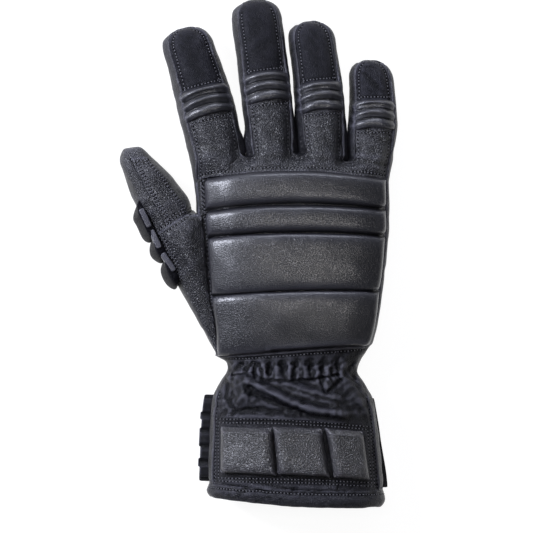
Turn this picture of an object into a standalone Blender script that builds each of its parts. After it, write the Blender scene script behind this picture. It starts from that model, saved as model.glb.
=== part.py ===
"""A padded leather riot glove for the right hand, lying on its palm.

Units are metres. +Z points out of the back of the hand, +Y from the cuff to the fingertips and +X from
the thumb to the little finger. While it is shaped, X = 0 is the middle of the hand and Y = 0 the seam
between hand and wrist. At the end the glove is set on the middle of its footprint.

The leather is first shaped as one open skin of four-sided faces, each marked with the panel that it
belongs to. Each panel is then cut out of the skin along its seams and thickened inwards, so that
neighbours meet with the same mitre and a small gap. Pads and the strap are laid on the skin.
"""

import math
from bisect import bisect_right
from typing import NamedTuple

import bmesh
import bpy
import numpy as np
from mathutils import Vector

# Leather and seams
LEATHER = 0.0014
SEAM_GAP = 0.0006
SEAT_GAP = 0.0004

# Hand, from the wrist seam to the forks between the fingers
HAND_LENGTH = 0.1122
HAND_WIDTH = 0.110
HAND_HEIGHT = 0.036
HAND_SIDE_LEVEL = 0.0155

# Back pad: foam bars under one leather, with sewn channels between them
BACK_FOAM = 0.0048
CHANNEL_SHOULDER = 0.0026
BACK_PAD_EDGE = 0.0034

# Fingers
FINGER_LENGTH = 0.0863
FINGER_WIDTH = 0.0290
FINGER_HEIGHT = 0.0290
FINGERTIP_ROUND = 0.0115
RIB_PITCH = 0.0056
RIB_FOAM = 0.0022

# Thumb
THUMB_LENGTH = 0.0505
THUMB_WIDTH = 0.0283
THUMB_HEIGHT = 0.0270
THUMB_PUFF = 0.0030
THUMB_FOAM = 0.0050

# Cuff, from the wrist seam to the mouth
CUFF_LENGTH = 0.0889
CUFF_WIDTH = 0.0978
CUFF_HEIGHT = 0.0450
GATHER_DEPTH = 0.0011
HEM_ROLL = 0.0010
CUFF_FOAM = 0.0042

# Closing strap under the cuff, and its ribbed end
STRAP_THICKNESS = 0.0024
STRAP_REACH_LEFT = 0.0050
STRAP_REACH_RIGHT = 0.0008
STRAP_CURL = 0.0035
GRIP_WIDTH = 0.0055
GRIP_HEIGHT = 0.0014
GRIP_MARGIN = 0.04
GRIP_RIBS = 5
GRIP_VALLEY_FILL = 0.35

# How full a rounded section is, and how much of its underside the floor flattens
ROUNDNESS = 2.4
FLATTEN = 1.12
# Where the side seams of the hand and cuff lie, as shares of their half width
SIDE_SEAM = 0.96
# How far the last ring of a fingertip closes
TIP_BLUNT = 0.90
CAP_BULGE = 0.0016

FINGER_COLUMNS = 4
THUMB_COLUMNS = 10
BACK_COLUMNS = 4 * FINGER_COLUMNS + 3


class HandRow(NamedTuple):
    """A section of the hand. Sides and height are shares of the hand's, tilt and arch of its length."""

    along: float
    left: float
    right: float
    tilt: float
    arch: float
    top: float


HAND_ROWS = (
    HandRow(0.000, 0.411, 0.408, 0.028, 0.000, 0.93),
    HandRow(0.128, 0.430, 0.441, 0.020, 0.005, 0.97),
    HandRow(0.308, 0.453, 0.474, 0.013, 0.013, 1.00),
    HandRow(0.605, 0.477, 0.506, 0.004, 0.022, 1.00),
    HandRow(0.749, 0.499, 0.510, 0.004, 0.031, 0.99),
    HandRow(0.925, 0.515, 0.510, 0.000, 0.044, 0.96),
    HandRow(1.000, 0.534, 0.516, 0.000, 0.046, 0.93),
)

# Where the back pad's channels and its two ends lie, as shares of the hand's length
PAD_CHANNELS = (0.000, 0.308, 0.605, 0.752, 0.925)
SHOULDER_FILL = 0.86
# The thumb is set into the hand's side between these rows of the back pad
HEEL_ROW = 1
WEB_ROW = 11


class Finger(NamedTuple):
    """A finger. left and right are shares of the hand's width, and the drops of its length. The ribs
    over its joint start at a share of the finger's own length, and it bends sideways by a share of it."""

    name: str
    left: float
    right: float
    left_drop: float
    right_drop: float
    lean: float
    length: float
    width: float
    tip_width: float
    height: float
    ribs: float
    bend: float


FINGERS = (
    Finger("index", -0.536, -0.2450, 0.026, -0.008, 15.0, 0.880, 1.13, 1.00, 1.00, 0.320, 0.020),
    Finger("middle", -0.2370, 0.0240, -0.008, -0.023, 6.6, 1.000, 1.01, 0.99, 1.06, 0.340, 0.011),
    Finger("ring", 0.0320, 0.2840, -0.023, 0.018, 5.6, 0.885, 1.00, 0.93, 1.03, 0.330, 0.020),
    Finger("little", 0.2930, 0.5240, 0.018, 0.036, 0.3, 0.660, 0.985, 0.90, 0.92, 0.320, 0.030),
)


class FingerRow(NamedTuple):
    """Heights of a finger's section, as shares of the finger's height."""

    along: float
    top: float
    level: float
    bottom: float


FINGER_ROWS = (
    FingerRow(0.00, 1.07, 0.53, 0.00),
    FingerRow(0.20, 1.00, 0.53, 0.05),
    FingerRow(0.45, 0.96, 0.53, 0.11),
    FingerRow(0.70, 0.82, 0.45, 0.07),
    FingerRow(0.90, 0.68, 0.36, 0.02),
    FingerRow(1.00, 0.62, 0.33, 0.00),
)
RIBS = 3
# How full a rib's foam is at the seams beside it
RIB_END_FILL = 0.5
# Rows between the ribs and the tip, as shares of that stretch
TIP_ROWS = (0.24, 0.46, 0.64, 0.80, 0.92, 1.00)
# The back's seams on a finger, and the palm's, as shares of its half width
LEFT_SEAM = 0.72
RIGHT_SEAM = 0.85
PALM_SEAM = 0.80
# Share of a finger over which it turns from the knuckle line to its own lean
ROOT_TURN = 0.30
# Share of a finger where its width starts to change to the tip's
TAPER_START = 0.35
TAPER_END = 0.85


class ThumbRow(NamedTuple):
    """A section of the thumb's tube, from its inner side, seen from the web between thumb and hand."""

    along: float
    inner_x: float
    inner_y: float
    turn: float
    width: float
    top: float
    level: float
    bottom: float


THUMB_ROWS = (
    ThumbRow(0.00, -0.050, 0.070, -145.4, 1.005, 1.00, 0.48, 0.00),
    ThumbRow(0.17, -0.085, 0.186, -153.0, 1.020, 0.98, 0.47, 0.02),
    ThumbRow(0.33, -0.185, 0.310, -157.0, 0.985, 0.95, 0.45, 0.04),
    ThumbRow(0.50, -0.288, 0.452, -161.0, 0.910, 0.89, 0.43, 0.06),
    ThumbRow(0.68, -0.410, 0.575, -169.0, 0.790, 0.81, 0.41, 0.08),
    ThumbRow(0.84, -0.525, 0.680, -173.0, 0.640, 0.70, 0.39, 0.12),
    ThumbRow(1.00, -0.615, 0.765, -174.0, 0.440, 0.57, 0.37, 0.20),
)
THUMB_SEAM = 0.80
# Rings of the thumb's base between the hand and the tube, as shares of the way
GUSSET_STEPS = (0.36, 0.62, 0.83)
# Columns of the thumb's back panel, and its last row before the tip
THUMB_BACK_COLUMNS = 7
THUMB_BACK_ROWS = 5


class CuffRow(NamedTuple):
    """A section of wrist and cuff. Sides are shares of the cuff's width and heights of its height, tilt
    and arch of its length, lift of the strap that it lies on, and gather of the gathers' depth."""

    along: float
    left: float
    right: float
    tilt: float
    arch: float
    top: float
    level: float
    lift: float
    gather: float


CUFF_ROWS = (
    CuffRow(0.000, 0.462, 0.467, 0.036, 0.000, 0.745, 0.35, 0.00, 0.0),
    CuffRow(0.050, 0.400, 0.408, 0.014, 0.000, 0.745, 0.36, 0.15, 0.4),
    CuffRow(0.085, 0.388, 0.392, 0.003, 0.000, 0.730, 0.36, 0.30, 1.0),
    CuffRow(0.120, 0.382, 0.384, 0.000, 0.000, 0.735, 0.36, 0.40, 1.0),
    CuffRow(0.155, 0.392, 0.390, -0.002, 0.000, 0.765, 0.37, 0.55, 0.9),
    CuffRow(0.205, 0.422, 0.425, -0.005, 0.000, 0.810, 0.38, 0.75, 0.4),
    CuffRow(0.275, 0.456, 0.466, -0.010, 0.000, 0.860, 0.40, 0.92, 0.0),
    CuffRow(0.350, 0.472, 0.484, -0.013, 0.000, 0.890, 0.41, 1.00, 0.0),
    CuffRow(0.450, 0.480, 0.500, -0.016, 0.000, 0.920, 0.42, 1.00, 0.0),
    CuffRow(0.550, 0.484, 0.512, -0.017, 0.000, 0.940, 0.42, 1.00, 0.0),
    CuffRow(0.660, 0.488, 0.522, -0.018, 0.002, 0.960, 0.42, 1.00, 0.0),
    CuffRow(0.770, 0.492, 0.532, -0.019, 0.006, 0.980, 0.42, 1.00, 0.0),
    CuffRow(0.895, 0.494, 0.540, -0.021, 0.014, 1.000, 0.42, 1.00, 0.0),
    CuffRow(0.950, 0.492, 0.538, -0.027, 0.020, 1.000, 0.42, 1.00, 0.0),
    CuffRow(1.000, 0.478, 0.524, -0.030, 0.026, 0.980, 0.42, 1.00, 0.0),
)
# Cuff rows where the gathered wrist ends and where the hem's binding starts
WRIST_END_ROW = 6
HEM_ROW = 12


class Fold(NamedTuple):
    """A soft fold of the cuff's back, between two places on it, as shares of the cuff's sizes."""

    start_across: float
    start_along: float
    end_across: float
    end_along: float
    width: float
    height: float


CUFF_FOLDS = (
    Fold(-0.66, 0.17, 0.60, 0.42, 0.050, 0.060),
    Fold(-0.02, 0.20, 0.68, 0.25, 0.045, -0.045),
    Fold(-0.80, 0.20, -0.62, 0.38, 0.045, 0.035),
    Fold(0.50, 0.17, 0.56, 0.34, 0.035, 0.035),
)


class CuffPad(NamedTuple):
    """A padded block on the cuff, between two places across it."""

    left: float
    right: float


CUFF_PADS = (CuffPad(-0.900, -0.305), CuffPad(-0.235, 0.335), CuffPad(0.425, 0.850))
CUFF_PAD_TOP = 0.505
CUFF_PAD_FOOT = 0.795


class ThumbPad(NamedTuple):
    """A padded segment on the thumb's outer edge. From 0 at the hand, the thumb's tube starts at 1."""

    start: float
    end: float


THUMB_PADS = (ThumbPad(0.985, 1.29), ThumbPad(0.80, 0.958), ThumbPad(0.575, 0.770))
# How far the pads reach round the thumb's outer edge, in columns from its inner side
THUMB_PAD_COLUMNS = (9.6, 12.2)
# Width of a thumb pad's rounded edge, in columns
THUMB_PAD_EDGE = 0.25

# Places of the strap's edges along the cuff, the share of its width where its ends turn up, and
# how square its ends' corners are
STRAP_TOP = 0.300
STRAP_FOOT = 0.872
STRAP_FLAT = 0.72
STRAP_END_POWER = 8
STRAP_CELLS = (16, 3)

# The rounded edge of a padded block: its width, and how full the foam is there
PAD_EDGE = 0.0026
PAD_EDGE_FILL = 0.45

# The least turn between two faces that shows as an edge
SHARP_EDGE = math.radians(35)

LEATHER_BLACK = ("black_leather", (0.022, 0.022, 0.025), 0.50)
PAD_BLACK = ("pad_leather", (0.024, 0.024, 0.027), 0.42)
STRAP_BLACK = ("strap_fabric", (0.016, 0.016, 0.018), 0.75)
GRIP_BLACK = ("grip_rubber", (0.020, 0.020, 0.022), 0.60)


def panel_materials():
    """Every panel of the skin, with its material."""
    panels = {"back_pad": PAD_BLACK, "knuckle_panel": LEATHER_BLACK, "palm_panel": LEATHER_BLACK}
    for finger in FINGERS:
        panels[finger.name + "_knuckle_ribs"] = PAD_BLACK
        panels[finger.name + "_tip_back"] = LEATHER_BLACK
    for fork in range(1, len(FINGERS)):
        panels[f"fork_strip_{fork}"] = LEATHER_BLACK
    for name in ("thumb_gusset", "thumb_back", "thumb_palm", "wrist_gather"):
        panels[name] = LEATHER_BLACK
    for name in ("gauntlet_back", "gauntlet_palm", "hem_binding"):
        panels[name] = LEATHER_BLACK
    return panels


def dome(share):
    """Height of a rounded section at this share of its half width, from 1 in the middle to 0."""
    return max(0.0, 1.0 - abs(share) ** ROUNDNESS) ** (1.0 / ROUNDNESS)


def eased(share):
    """A share that starts and ends slowly, held between 0 and 1."""
    held = min(max(share, 0.0), 1.0)
    return held * held * (3.0 - 2.0 * held)


def smooth(table, along):
    """The row of a table at this share of the way, on curves through the table's columns."""
    stations = [row.along for row in table]
    place = min(max(bisect_right(stations, along), 1), len(table) - 1)
    low, high = table[place - 1], table[place]
    before, after = table[max(place - 2, 0)], table[min(place + 1, len(table) - 1)]
    span = high.along - low.along
    t = (along - low.along) / span
    columns = []
    for was, start, end, next_one in zip(before, low, high, after):
        leaving = (end - was) * span / (high.along - before.along)
        arriving = (next_one - start) * span / (after.along - low.along)
        columns.append(
            start * (2 * t**3 - 3 * t**2 + 1)
            + leaving * (t**3 - 2 * t**2 + t)
            + end * (3 * t**2 - 2 * t**3)
            + arriving * (t**3 - t**2)
        )
    return type(low)(*columns)


def section_heights(share, top, level, bottom):
    """Heights of the back and of the floor-flattened palm at this share of a section's half width."""
    bulge = dome(share)
    return level + (top - level) * bulge, level - (level - bottom) * min(1.0, FLATTEN * bulge)


class Ring(NamedTuple):
    """A ring of the skin. back and palm run from the thumb's side to the little finger's."""

    back: list
    right: object
    palm: list
    left: object

    def loop(self):
        return [*self.back, self.right, *reversed(self.palm), self.left]


def hand_plan(across, along):
    """X and Y of a place on the hand, across it from -1 to 1 between its side seams."""
    row = smooth(HAND_ROWS, along)
    half = HAND_WIDTH * (row.right + row.left) / 2
    middle = HAND_WIDTH * (row.right - row.left) / 2
    y = HAND_LENGTH * (along + row.tilt * across - row.arch * across**2)
    return middle + half * SIDE_SEAM * across, y


def hand_ring(along):
    """The hand's ring of points at this share of its length."""
    row = smooth(HAND_ROWS, along)
    half = HAND_WIDTH * (row.right + row.left) / 2
    inset = BACK_PAD_EDGE / (half * SIDE_SEAM)
    inner = [-1 + inset + (2 - 2 * inset) * c / (BACK_COLUMNS - 2) for c in range(BACK_COLUMNS - 1)]
    back, palm = [], []
    for across in [-1.0, *inner, 1.0]:
        x, y = hand_plan(across, along)
        upper, lower = section_heights(SIDE_SEAM * across, HAND_HEIGHT * row.top, HAND_SIDE_LEVEL, 0.0)
        back.append(Vector((x, y, upper)))
        palm.append(Vector((x, y, lower)))
    left, right = (Vector((*hand_plan(side / SIDE_SEAM, along), HAND_SIDE_LEVEL)) for side in (-1, 1))
    return Ring(back, right, palm, left)


def finger_ring(finger, along):
    """The finger's ring of points at this share of its length."""
    row = smooth(FINGER_ROWS, along)
    length = FINGER_LENGTH * finger.length
    height = FINGER_HEIGHT * finger.height
    lean = math.radians(finger.lean)
    root_left = Vector((finger.left * HAND_WIDTH, HAND_LENGTH * (1 - finger.left_drop)))
    root_right = Vector((finger.right * HAND_WIDTH, HAND_LENGTH * (1 - finger.right_drop)))
    taper = eased((along - TAPER_START) / (TAPER_END - TAPER_START))
    width = finger.width + (finger.tip_width - finger.width) * taper
    closing = dome(TIP_BLUNT * min(max(1 - (1 - along) * length / FINGERTIP_ROUND, 0.0), 1.0))
    across = Vector((math.cos(lean), math.sin(lean))) * FINGER_WIDTH * width / 2 * closing
    reach = ((root_right - root_left) / 2).lerp(across, eased(along / ROOT_TURN))
    axis = Vector((-math.sin(lean), math.cos(lean)))
    bow = Vector((math.cos(lean), math.sin(lean))) * length * finger.bend * math.sin(math.pi * along)
    centre = (root_left + root_right) / 2 + axis * length * along + bow
    level = height * row.level
    top = level + height * (row.top - row.level) * closing
    bottom = level - height * (row.level - row.bottom) * closing

    def place(share, palm_side):
        plan = centre + reach * share
        return Vector((plan.x, plan.y, section_heights(share, top, level, bottom)[palm_side]))

    steps = [c / FINGER_COLUMNS for c in range(FINGER_COLUMNS + 1)]
    back = [place(-LEFT_SEAM + (LEFT_SEAM + RIGHT_SEAM) * step, 0) for step in steps]
    palm = [place(-PALM_SEAM + 2 * PALM_SEAM * step, 1) for step in steps]
    return Ring(back, place(1.0, 0), palm, place(-1.0, 0))


def thumb_ring(along):
    """A ring of the thumb's tube. Its back and palm run from the web to the thumb's outer edge."""
    row = smooth(THUMB_ROWS, along)
    web = hand_ring(pad_stations()[WEB_ROW][0]).left
    inner = Vector((web.x + THUMB_LENGTH * row.inner_x, web.y + THUMB_LENGTH * row.inner_y))
    turn = math.radians(row.turn)
    reach = Vector((math.cos(turn), math.sin(turn))) * THUMB_WIDTH * row.width / 2

    def place(share, palm_side):
        plan = inner + reach * (1 + share)
        heights = section_heights(
            share, THUMB_HEIGHT * row.top, THUMB_HEIGHT * row.level, THUMB_HEIGHT * row.bottom
        )
        return Vector((plan.x, plan.y, heights[palm_side]))

    shares = [THUMB_SEAM * (2 * c / THUMB_COLUMNS - 1) for c in range(THUMB_COLUMNS + 1)]
    return Ring([place(s, 0) for s in shares], place(1.0, 0), [place(s, 1) for s in shares], place(-1.0, 0))


def gusset_loop(step):
    """The thumb's base between its hole in the hand, at 0, and its tube, at 1, as a loop of points."""
    rows = [hand_ring(station) for station, _ in reversed(pad_stations()[HEEL_ROW : WEB_ROW + 1])]
    hole = Ring([r.back[0] for r in rows], rows[-1].left, [r.palm[0] for r in rows], rows[0].left).loop()
    tube = thumb_ring(0.0).loop()
    puff = THUMB_PUFF * math.sin(math.pi * step)
    loop = []
    for place, (start, end) in enumerate(zip(hole, tube)):
        point = start.lerp(end, step)
        if place < THUMB_COLUMNS:
            point.z += puff * math.sin(math.pi * place / THUMB_COLUMNS)
        loop.append(point)
    return loop


def thumb_loop(station):
    """The thumb's loop of points from the hand, at 0, past its tube's start, at 1, to its tip, at 2."""
    if station <= 1.0:
        return gusset_loop(station)
    return thumb_ring(station - 1.0).loop()


def thumb_place(station, column):
    """A point of the thumb's surface at a place along it and a column round it."""
    loop = thumb_loop(station)
    low = int(column)
    return loop[low].lerp(loop[(low + 1) % len(loop)], column - low)


def fold_height(x, y):
    """How much the cuff's folds raise its back at this place."""
    raised = 0.0
    point = Vector((x, y))
    for fold in CUFF_FOLDS:
        start = Vector(cuff_plan(fold.start_across, fold.start_along))
        end = Vector(cuff_plan(fold.end_across, fold.end_along))
        run = end - start
        share = min(max((point - start).dot(run) / run.length_squared, 0.0), 1.0)
        distance = (point - start - run * share).length
        raised += CUFF_HEIGHT * fold.height * math.exp(-((distance / (CUFF_WIDTH * fold.width)) ** 2))
    return raised


def cuff_plan(across, along):
    """X and Y of a place on wrist and cuff, across it from -1 to 1 between its side seams."""
    row = smooth(CUFF_ROWS, along)
    half = CUFF_WIDTH * (row.right + row.left) / 2
    middle = CUFF_WIDTH * (row.right - row.left) / 2
    y = CUFF_LENGTH * (row.tilt * across + row.arch * across**2 - along)
    return middle + half * SIDE_SEAM * across, y


def cuff_place(across, along, palm_side):
    """A point on the back or the palm of wrist and cuff."""
    row = smooth(CUFF_ROWS, along)
    x, y = cuff_plan(across, along)
    lift = (STRAP_THICKNESS + SEAT_GAP) * row.lift
    heights = section_heights(SIDE_SEAM * across, CUFF_HEIGHT * row.top, CUFF_HEIGHT * row.level, lift)
    rise = 0.0 if palm_side else fold_height(x, y) * dome(SIDE_SEAM * across)
    return Vector((x, y, heights[palm_side] + rise))


def cuff_facet(across, along):
    """A point on the straight faces between the cuff's rows, on its back."""
    stations = [row.along for row in CUFF_ROWS]
    place = min(max(bisect_right(stations, along), 1), len(stations) - 1)
    low, high = stations[place - 1], stations[place]
    start, end = cuff_place(across, low, 0), cuff_place(across, high, 0)
    return start.lerp(end, (along - low) / (high - low))


def cuff_ring(along):
    """A ring of wrist and cuff, with the gathers as a ripple from column to column."""
    row = smooth(CUFF_ROWS, along)
    back, palm = [], []
    for column in range(BACK_COLUMNS + 1):
        across = 2 * column / BACK_COLUMNS - 1
        ripple = GATHER_DEPTH * row.gather * (1 if column % 2 else -1)
        back.append(cuff_place(across, along, 0) + Vector((0, 0, ripple)))
        palm.append(cuff_place(across, along, 1) + Vector((0, 0, max(ripple, 0.0))))
    level = CUFF_HEIGHT * row.level
    left, right = (Vector((*cuff_plan(side / SIDE_SEAM, along), level)) for side in (-1, 1))
    return Ring(back, right, palm, left)


def pad_stations():
    """Place along the hand and fill of foam of each row of the back pad, from the wrist up."""
    shoulder = CHANNEL_SHOULDER / HAND_LENGTH
    stations = [(PAD_CHANNELS[0], 0.0)]
    for start, end in zip(PAD_CHANNELS, PAD_CHANNELS[1:]):
        stations += [(start + shoulder, SHOULDER_FILL), ((start + end) / 2, 1.0)]
        stations += [(end - shoulder, SHOULDER_FILL), (end, 0.0)]
    return stations


def finger_stations(finger):
    """Place along a finger, fill of foam and panel of each row after its root."""
    pitch = RIB_PITCH / (FINGER_LENGTH * finger.length)
    ribs, tip = finger.name + "_knuckle_ribs", finger.name + "_tip_back"
    stations = [(finger.ribs / 2, 0.0, "knuckle_panel"), (finger.ribs, 0.0, "knuckle_panel")]
    for rib in range(RIBS):
        valley = finger.ribs + pitch * rib
        stations += [(valley + pitch / 2, 1.0, ribs), (valley + pitch, 0.0, ribs)]
    end = stations[-1][0]
    return stations + [(end + (1 - end) * share, 0.0, tip) for share in TIP_ROWS]


class Skin:
    """The whole glove's leather as one open mesh, each face marked with its panel."""

    def __init__(self, panels):
        self.mesh = bmesh.new()
        self.panels = list(panels)
        self.panel = self.mesh.faces.layers.int.new("panel")
        self.foam = self.mesh.verts.layers.float.new("foam")
        self.wall = self.mesh.verts.layers.float_vector.new("wall")

    def ring(self, points):
        """Adds a ring's points. A ring may leave out its left point, inside the thumb's hole."""
        return Ring(
            [self.mesh.verts.new(p) for p in points.back],
            self.mesh.verts.new(points.right),
            [self.mesh.verts.new(p) for p in points.palm],
            self.mesh.verts.new(points.left) if points.left else None,
        )

    def face(self, corners, panel):
        made = self.mesh.faces.new(corners)
        made[self.panel] = self.panels.index(panel)

    def band(self, low, high, panel_of):
        """Faces between two loops, in the panel that panel_of gives for each column."""
        for column in range(len(low)):
            turn = (column + 1) % len(low)
            corners = [low[column], low[turn], high[turn], high[column]]
            if None not in corners:
                self.face(corners, panel_of(column))

    def cap(self, ring, out, back_panel, palm_panel):
        """Closes a tube's end with two rows of faces, bulged outwards."""
        inner = zip(ring.back[1:-1], ring.palm[1:-1])
        middle = [self.mesh.verts.new((upper.co + lower.co) / 2 + out) for upper, lower in inner]
        middle = [ring.left, *middle, ring.right]
        for c in range(len(middle) - 1):
            self.face([ring.back[c], ring.back[c + 1], middle[c + 1], middle[c]], back_panel)
            self.face([middle[c], middle[c + 1], ring.palm[c + 1], ring.palm[c]], palm_panel)


def hand_panel(column, back_panel, side_panel):
    return back_panel if column < BACK_COLUMNS else side_panel


def add_hand(skin, roots):
    """The hand from the wrist seam to the forks, with the thumb's hole in its left side."""
    rings = []
    for row, (station, fill) in enumerate(pad_stations()):
        points = hand_ring(station)
        if HEEL_ROW < row < WEB_ROW:
            points = points._replace(left=None)
        ring = skin.ring(points)
        for vert in ring.back[1:-1]:
            vert[skin.foam] = BACK_FOAM * fill
        rings.append(ring)
    knuckles = Ring(
        [vert for root in roots for vert in root.back],
        roots[-1].right,
        [vert for root in roots for vert in root.palm],
        roots[0].left,
    )
    halfway = [(a.co + b.co) / 2 for a, b in zip(rings[-1].loop(), knuckles.loop())]
    count = BACK_COLUMNS + 1
    between = skin.ring(
        Ring(halfway[:count], halfway[count], halfway[2 * count : count : -1], halfway[-1])
    )
    rings += [between, knuckles]
    last_pad_row = len(pad_stations()) - 1
    for row, (low, high) in enumerate(zip(rings, rings[1:])):
        back = "back_pad" if row < last_pad_row else "knuckle_panel"
        skin.band(low.loop(), high.loop(), lambda c, back=back: hand_panel(c, back, "palm_panel"))
    return rings


def add_finger(skin, number, finger, root):
    """A finger's tube from its root ring to its closed tip."""
    right = f"fork_strip_{number + 1}" if number < len(FINGERS) - 1 else "palm_panel"
    left = f"fork_strip_{number}" if number else "palm_panel"
    low = root
    for station, fill, back in finger_stations(finger):
        high = skin.ring(finger_ring(finger, station))
        for vert in high.back:
            at_seam = vert in (high.back[0], high.back[-1])
            vert[skin.foam] = RIB_FOAM * fill * (RIB_END_FILL if at_seam else 1.0)
        sides = [back] * FINGER_COLUMNS + [right] * 2 + ["palm_panel"] * FINGER_COLUMNS + [left] * 2
        skin.band(low.loop(), high.loop(), sides.__getitem__)
        low = high
    lean = math.radians(finger.lean)
    out = Vector((-math.sin(lean), math.cos(lean), 0)) * CAP_BULGE
    skin.cap(low, out, finger.name + "_tip_back", "palm_panel")


def add_forks(skin, roots):
    """The bottoms of the valleys between neighbouring fingers."""
    for fork, (left, right) in enumerate(zip(roots, roots[1:]), 1):
        strip = f"fork_strip_{fork}"
        skin.face([left.back[-1], right.back[0], right.left, left.right], strip)
        skin.face([left.right, right.left, right.palm[0], left.palm[-1]], strip)


def add_thumb(skin, hand_rings):
    """The thumb's base, from its hole in the hand, and its tube to the closed tip."""
    rows = list(reversed(hand_rings[HEEL_ROW : WEB_ROW + 1]))
    low = Ring([r.back[0] for r in rows], rows[-1].left, [r.palm[0] for r in rows], rows[0].left).loop()
    for step in GUSSET_STEPS:
        high = [skin.mesh.verts.new(point) for point in gusset_loop(step)]
        skin.band(low, high, lambda c: "thumb_gusset")
        low = high
    for number, row in enumerate(THUMB_ROWS):
        ring = skin.ring(thumb_ring(row.along))
        on_back = THUMB_BACK_COLUMNS if 0 < number <= THUMB_BACK_ROWS else 0
        rest = "thumb_palm" if number else "thumb_gusset"
        high = ring.loop()
        skin.band(low, high, lambda c, n=on_back, rest=rest: "thumb_back" if c < n else rest)
        low = high
    tip, before = thumb_ring(1.0), thumb_ring(THUMB_ROWS[-2].along)
    out = (tip.left + tip.right - before.left - before.right).normalized() * CAP_BULGE
    skin.cap(ring, out, "thumb_palm", "thumb_palm")


def add_cuff(skin, wrist_seam):
    """The gathered wrist, the cuff and its bound hem, down from the hand's first ring."""
    high = wrist_seam
    for row, section in enumerate(CUFF_ROWS[1:], 1):
        low = skin.ring(cuff_ring(section.along))
        if row > HEM_ROW:
            for vert in low.loop():
                vert[skin.foam] = HEM_ROLL
        if row <= WRIST_END_ROW:
            back = side = "wrist_gather"
        elif row <= HEM_ROW:
            back, side = "gauntlet_back", "gauntlet_palm"
        else:
            back = side = "hem_binding"
        skin.band(low.loop(), high.loop(), lambda c, b=back, s=side: hand_panel(c, b, s))
        high = low


def wall_way(vert):
    """The way into the wall at a point, long enough to lie one unit deep behind every face around it."""
    smoothing, longest = 0.15, 1.8
    normals = np.array([face.normal[:] for face in vert.link_faces])
    rules = np.vstack([normals, smoothing * np.eye(3)])
    depths = np.concatenate([np.ones(len(normals)), smoothing * np.array(vert.normal[:])])
    way = Vector(np.linalg.lstsq(rules, depths, rcond=None)[0])
    return way * min(1.0, longest / way.length)


def make_skin():
    """The whole skin, with the way to its inner face stored at each point."""
    skin = Skin(panel_materials())
    roots = [skin.ring(finger_ring(finger, 0.0)) for finger in FINGERS]
    hand_rings = add_hand(skin, roots)
    for number, (finger, root) in enumerate(zip(FINGERS, roots)):
        add_finger(skin, number, finger, root)
    add_forks(skin, roots)
    add_thumb(skin, hand_rings)
    add_cuff(skin, hand_rings[0])
    bmesh.ops.recalc_face_normals(skin.mesh, faces=skin.mesh.faces)
    skin.mesh.normal_update()
    for vert in skin.mesh.verts:
        vert[skin.wall] = wall_way(vert)
    return skin


def seam_shift(vert):
    """How an edge point moves into its own panel to leave half the seam's gap."""
    pulls = []
    for edge in vert.link_edges:
        if not edge.is_boundary:
            continue
        face = edge.link_faces[0]
        along = (edge.verts[1].co - edge.verts[0].co).normalized()
        pull = face.normal.cross(along).normalized()
        towards = face.calc_center_median() - vert.co
        pulls.append(pull if pull.dot(towards) > 0 else -pull)
    if len(pulls) < 2:
        return Vector()
    least_bisector = 0.4
    return (pulls[0] + pulls[1]) * SEAM_GAP / 2 / max(1 + pulls[0].dot(pulls[1]), least_bisector)


def finish_object(name, mesh, material, collection, root):
    """Turns a bmesh into a named object of the glove, with its material."""
    data = bpy.data.meshes.new(name)
    mesh.to_mesh(data)
    mesh.free()
    data.shade_smooth()
    data.set_sharp_from_angle(angle=SHARP_EDGE)
    data.materials.append(material_named(*material))
    made = bpy.data.objects.new(name, data)
    made.parent = root
    collection.objects.link(made)
    return made


def material_named(name, colour, roughness):
    """The material of that name, made on its first use."""
    found = bpy.data.materials.get(name)
    if found:
        return found
    made = bpy.data.materials.new(name)
    made.use_nodes = True
    shader = made.node_tree.nodes["Principled BSDF"]
    shader.inputs["Base Color"].default_value = (*colour, 1.0)
    shader.inputs["Roughness"].default_value = roughness
    shader.inputs["Metallic"].default_value = 0.0
    return made


def raise_wall(mesh, inner, outer):
    """Closes an open sheet into a wall, between two distances along the way stored at each point."""
    wall = mesh.verts.layers.float_vector["wall"]
    made = bmesh.ops.extrude_face_region(mesh, geom=mesh.faces[:], use_keep_orig=True)
    raised = {item for item in made["geom"] if isinstance(item, bmesh.types.BMVert)}
    for vert in mesh.verts:
        vert.co += vert[wall] * (outer(vert) if vert in raised else inner(vert))
    bmesh.ops.recalc_face_normals(mesh, faces=mesh.faces)
    return mesh


def cut_panel(skin, number):
    """One panel of the skin as a closed wall of leather, padded where it has foam."""
    mesh = skin.mesh.copy()
    panel = mesh.faces.layers.int["panel"]
    foam = mesh.verts.layers.float["foam"]
    others = [face for face in mesh.faces if face[panel] != number]
    bmesh.ops.delete(mesh, geom=others, context="FACES")
    shifts = {vert: seam_shift(vert) for vert in mesh.verts if vert.is_boundary}
    for vert, shift in shifts.items():
        vert.co += shift
    return raise_wall(mesh, lambda vert: -LEATHER, lambda vert: vert[foam])


def lines_between(start, end, skin_lines, edge):
    """Grid lines of a pad: its two ends, its rounded edges, and the skin's own lines between them."""
    closest = edge / 2
    inner = [line for line in skin_lines if start + edge + closest < line < end - edge - closest]
    return [start, start + edge, *inner, end - edge, end]


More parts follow.
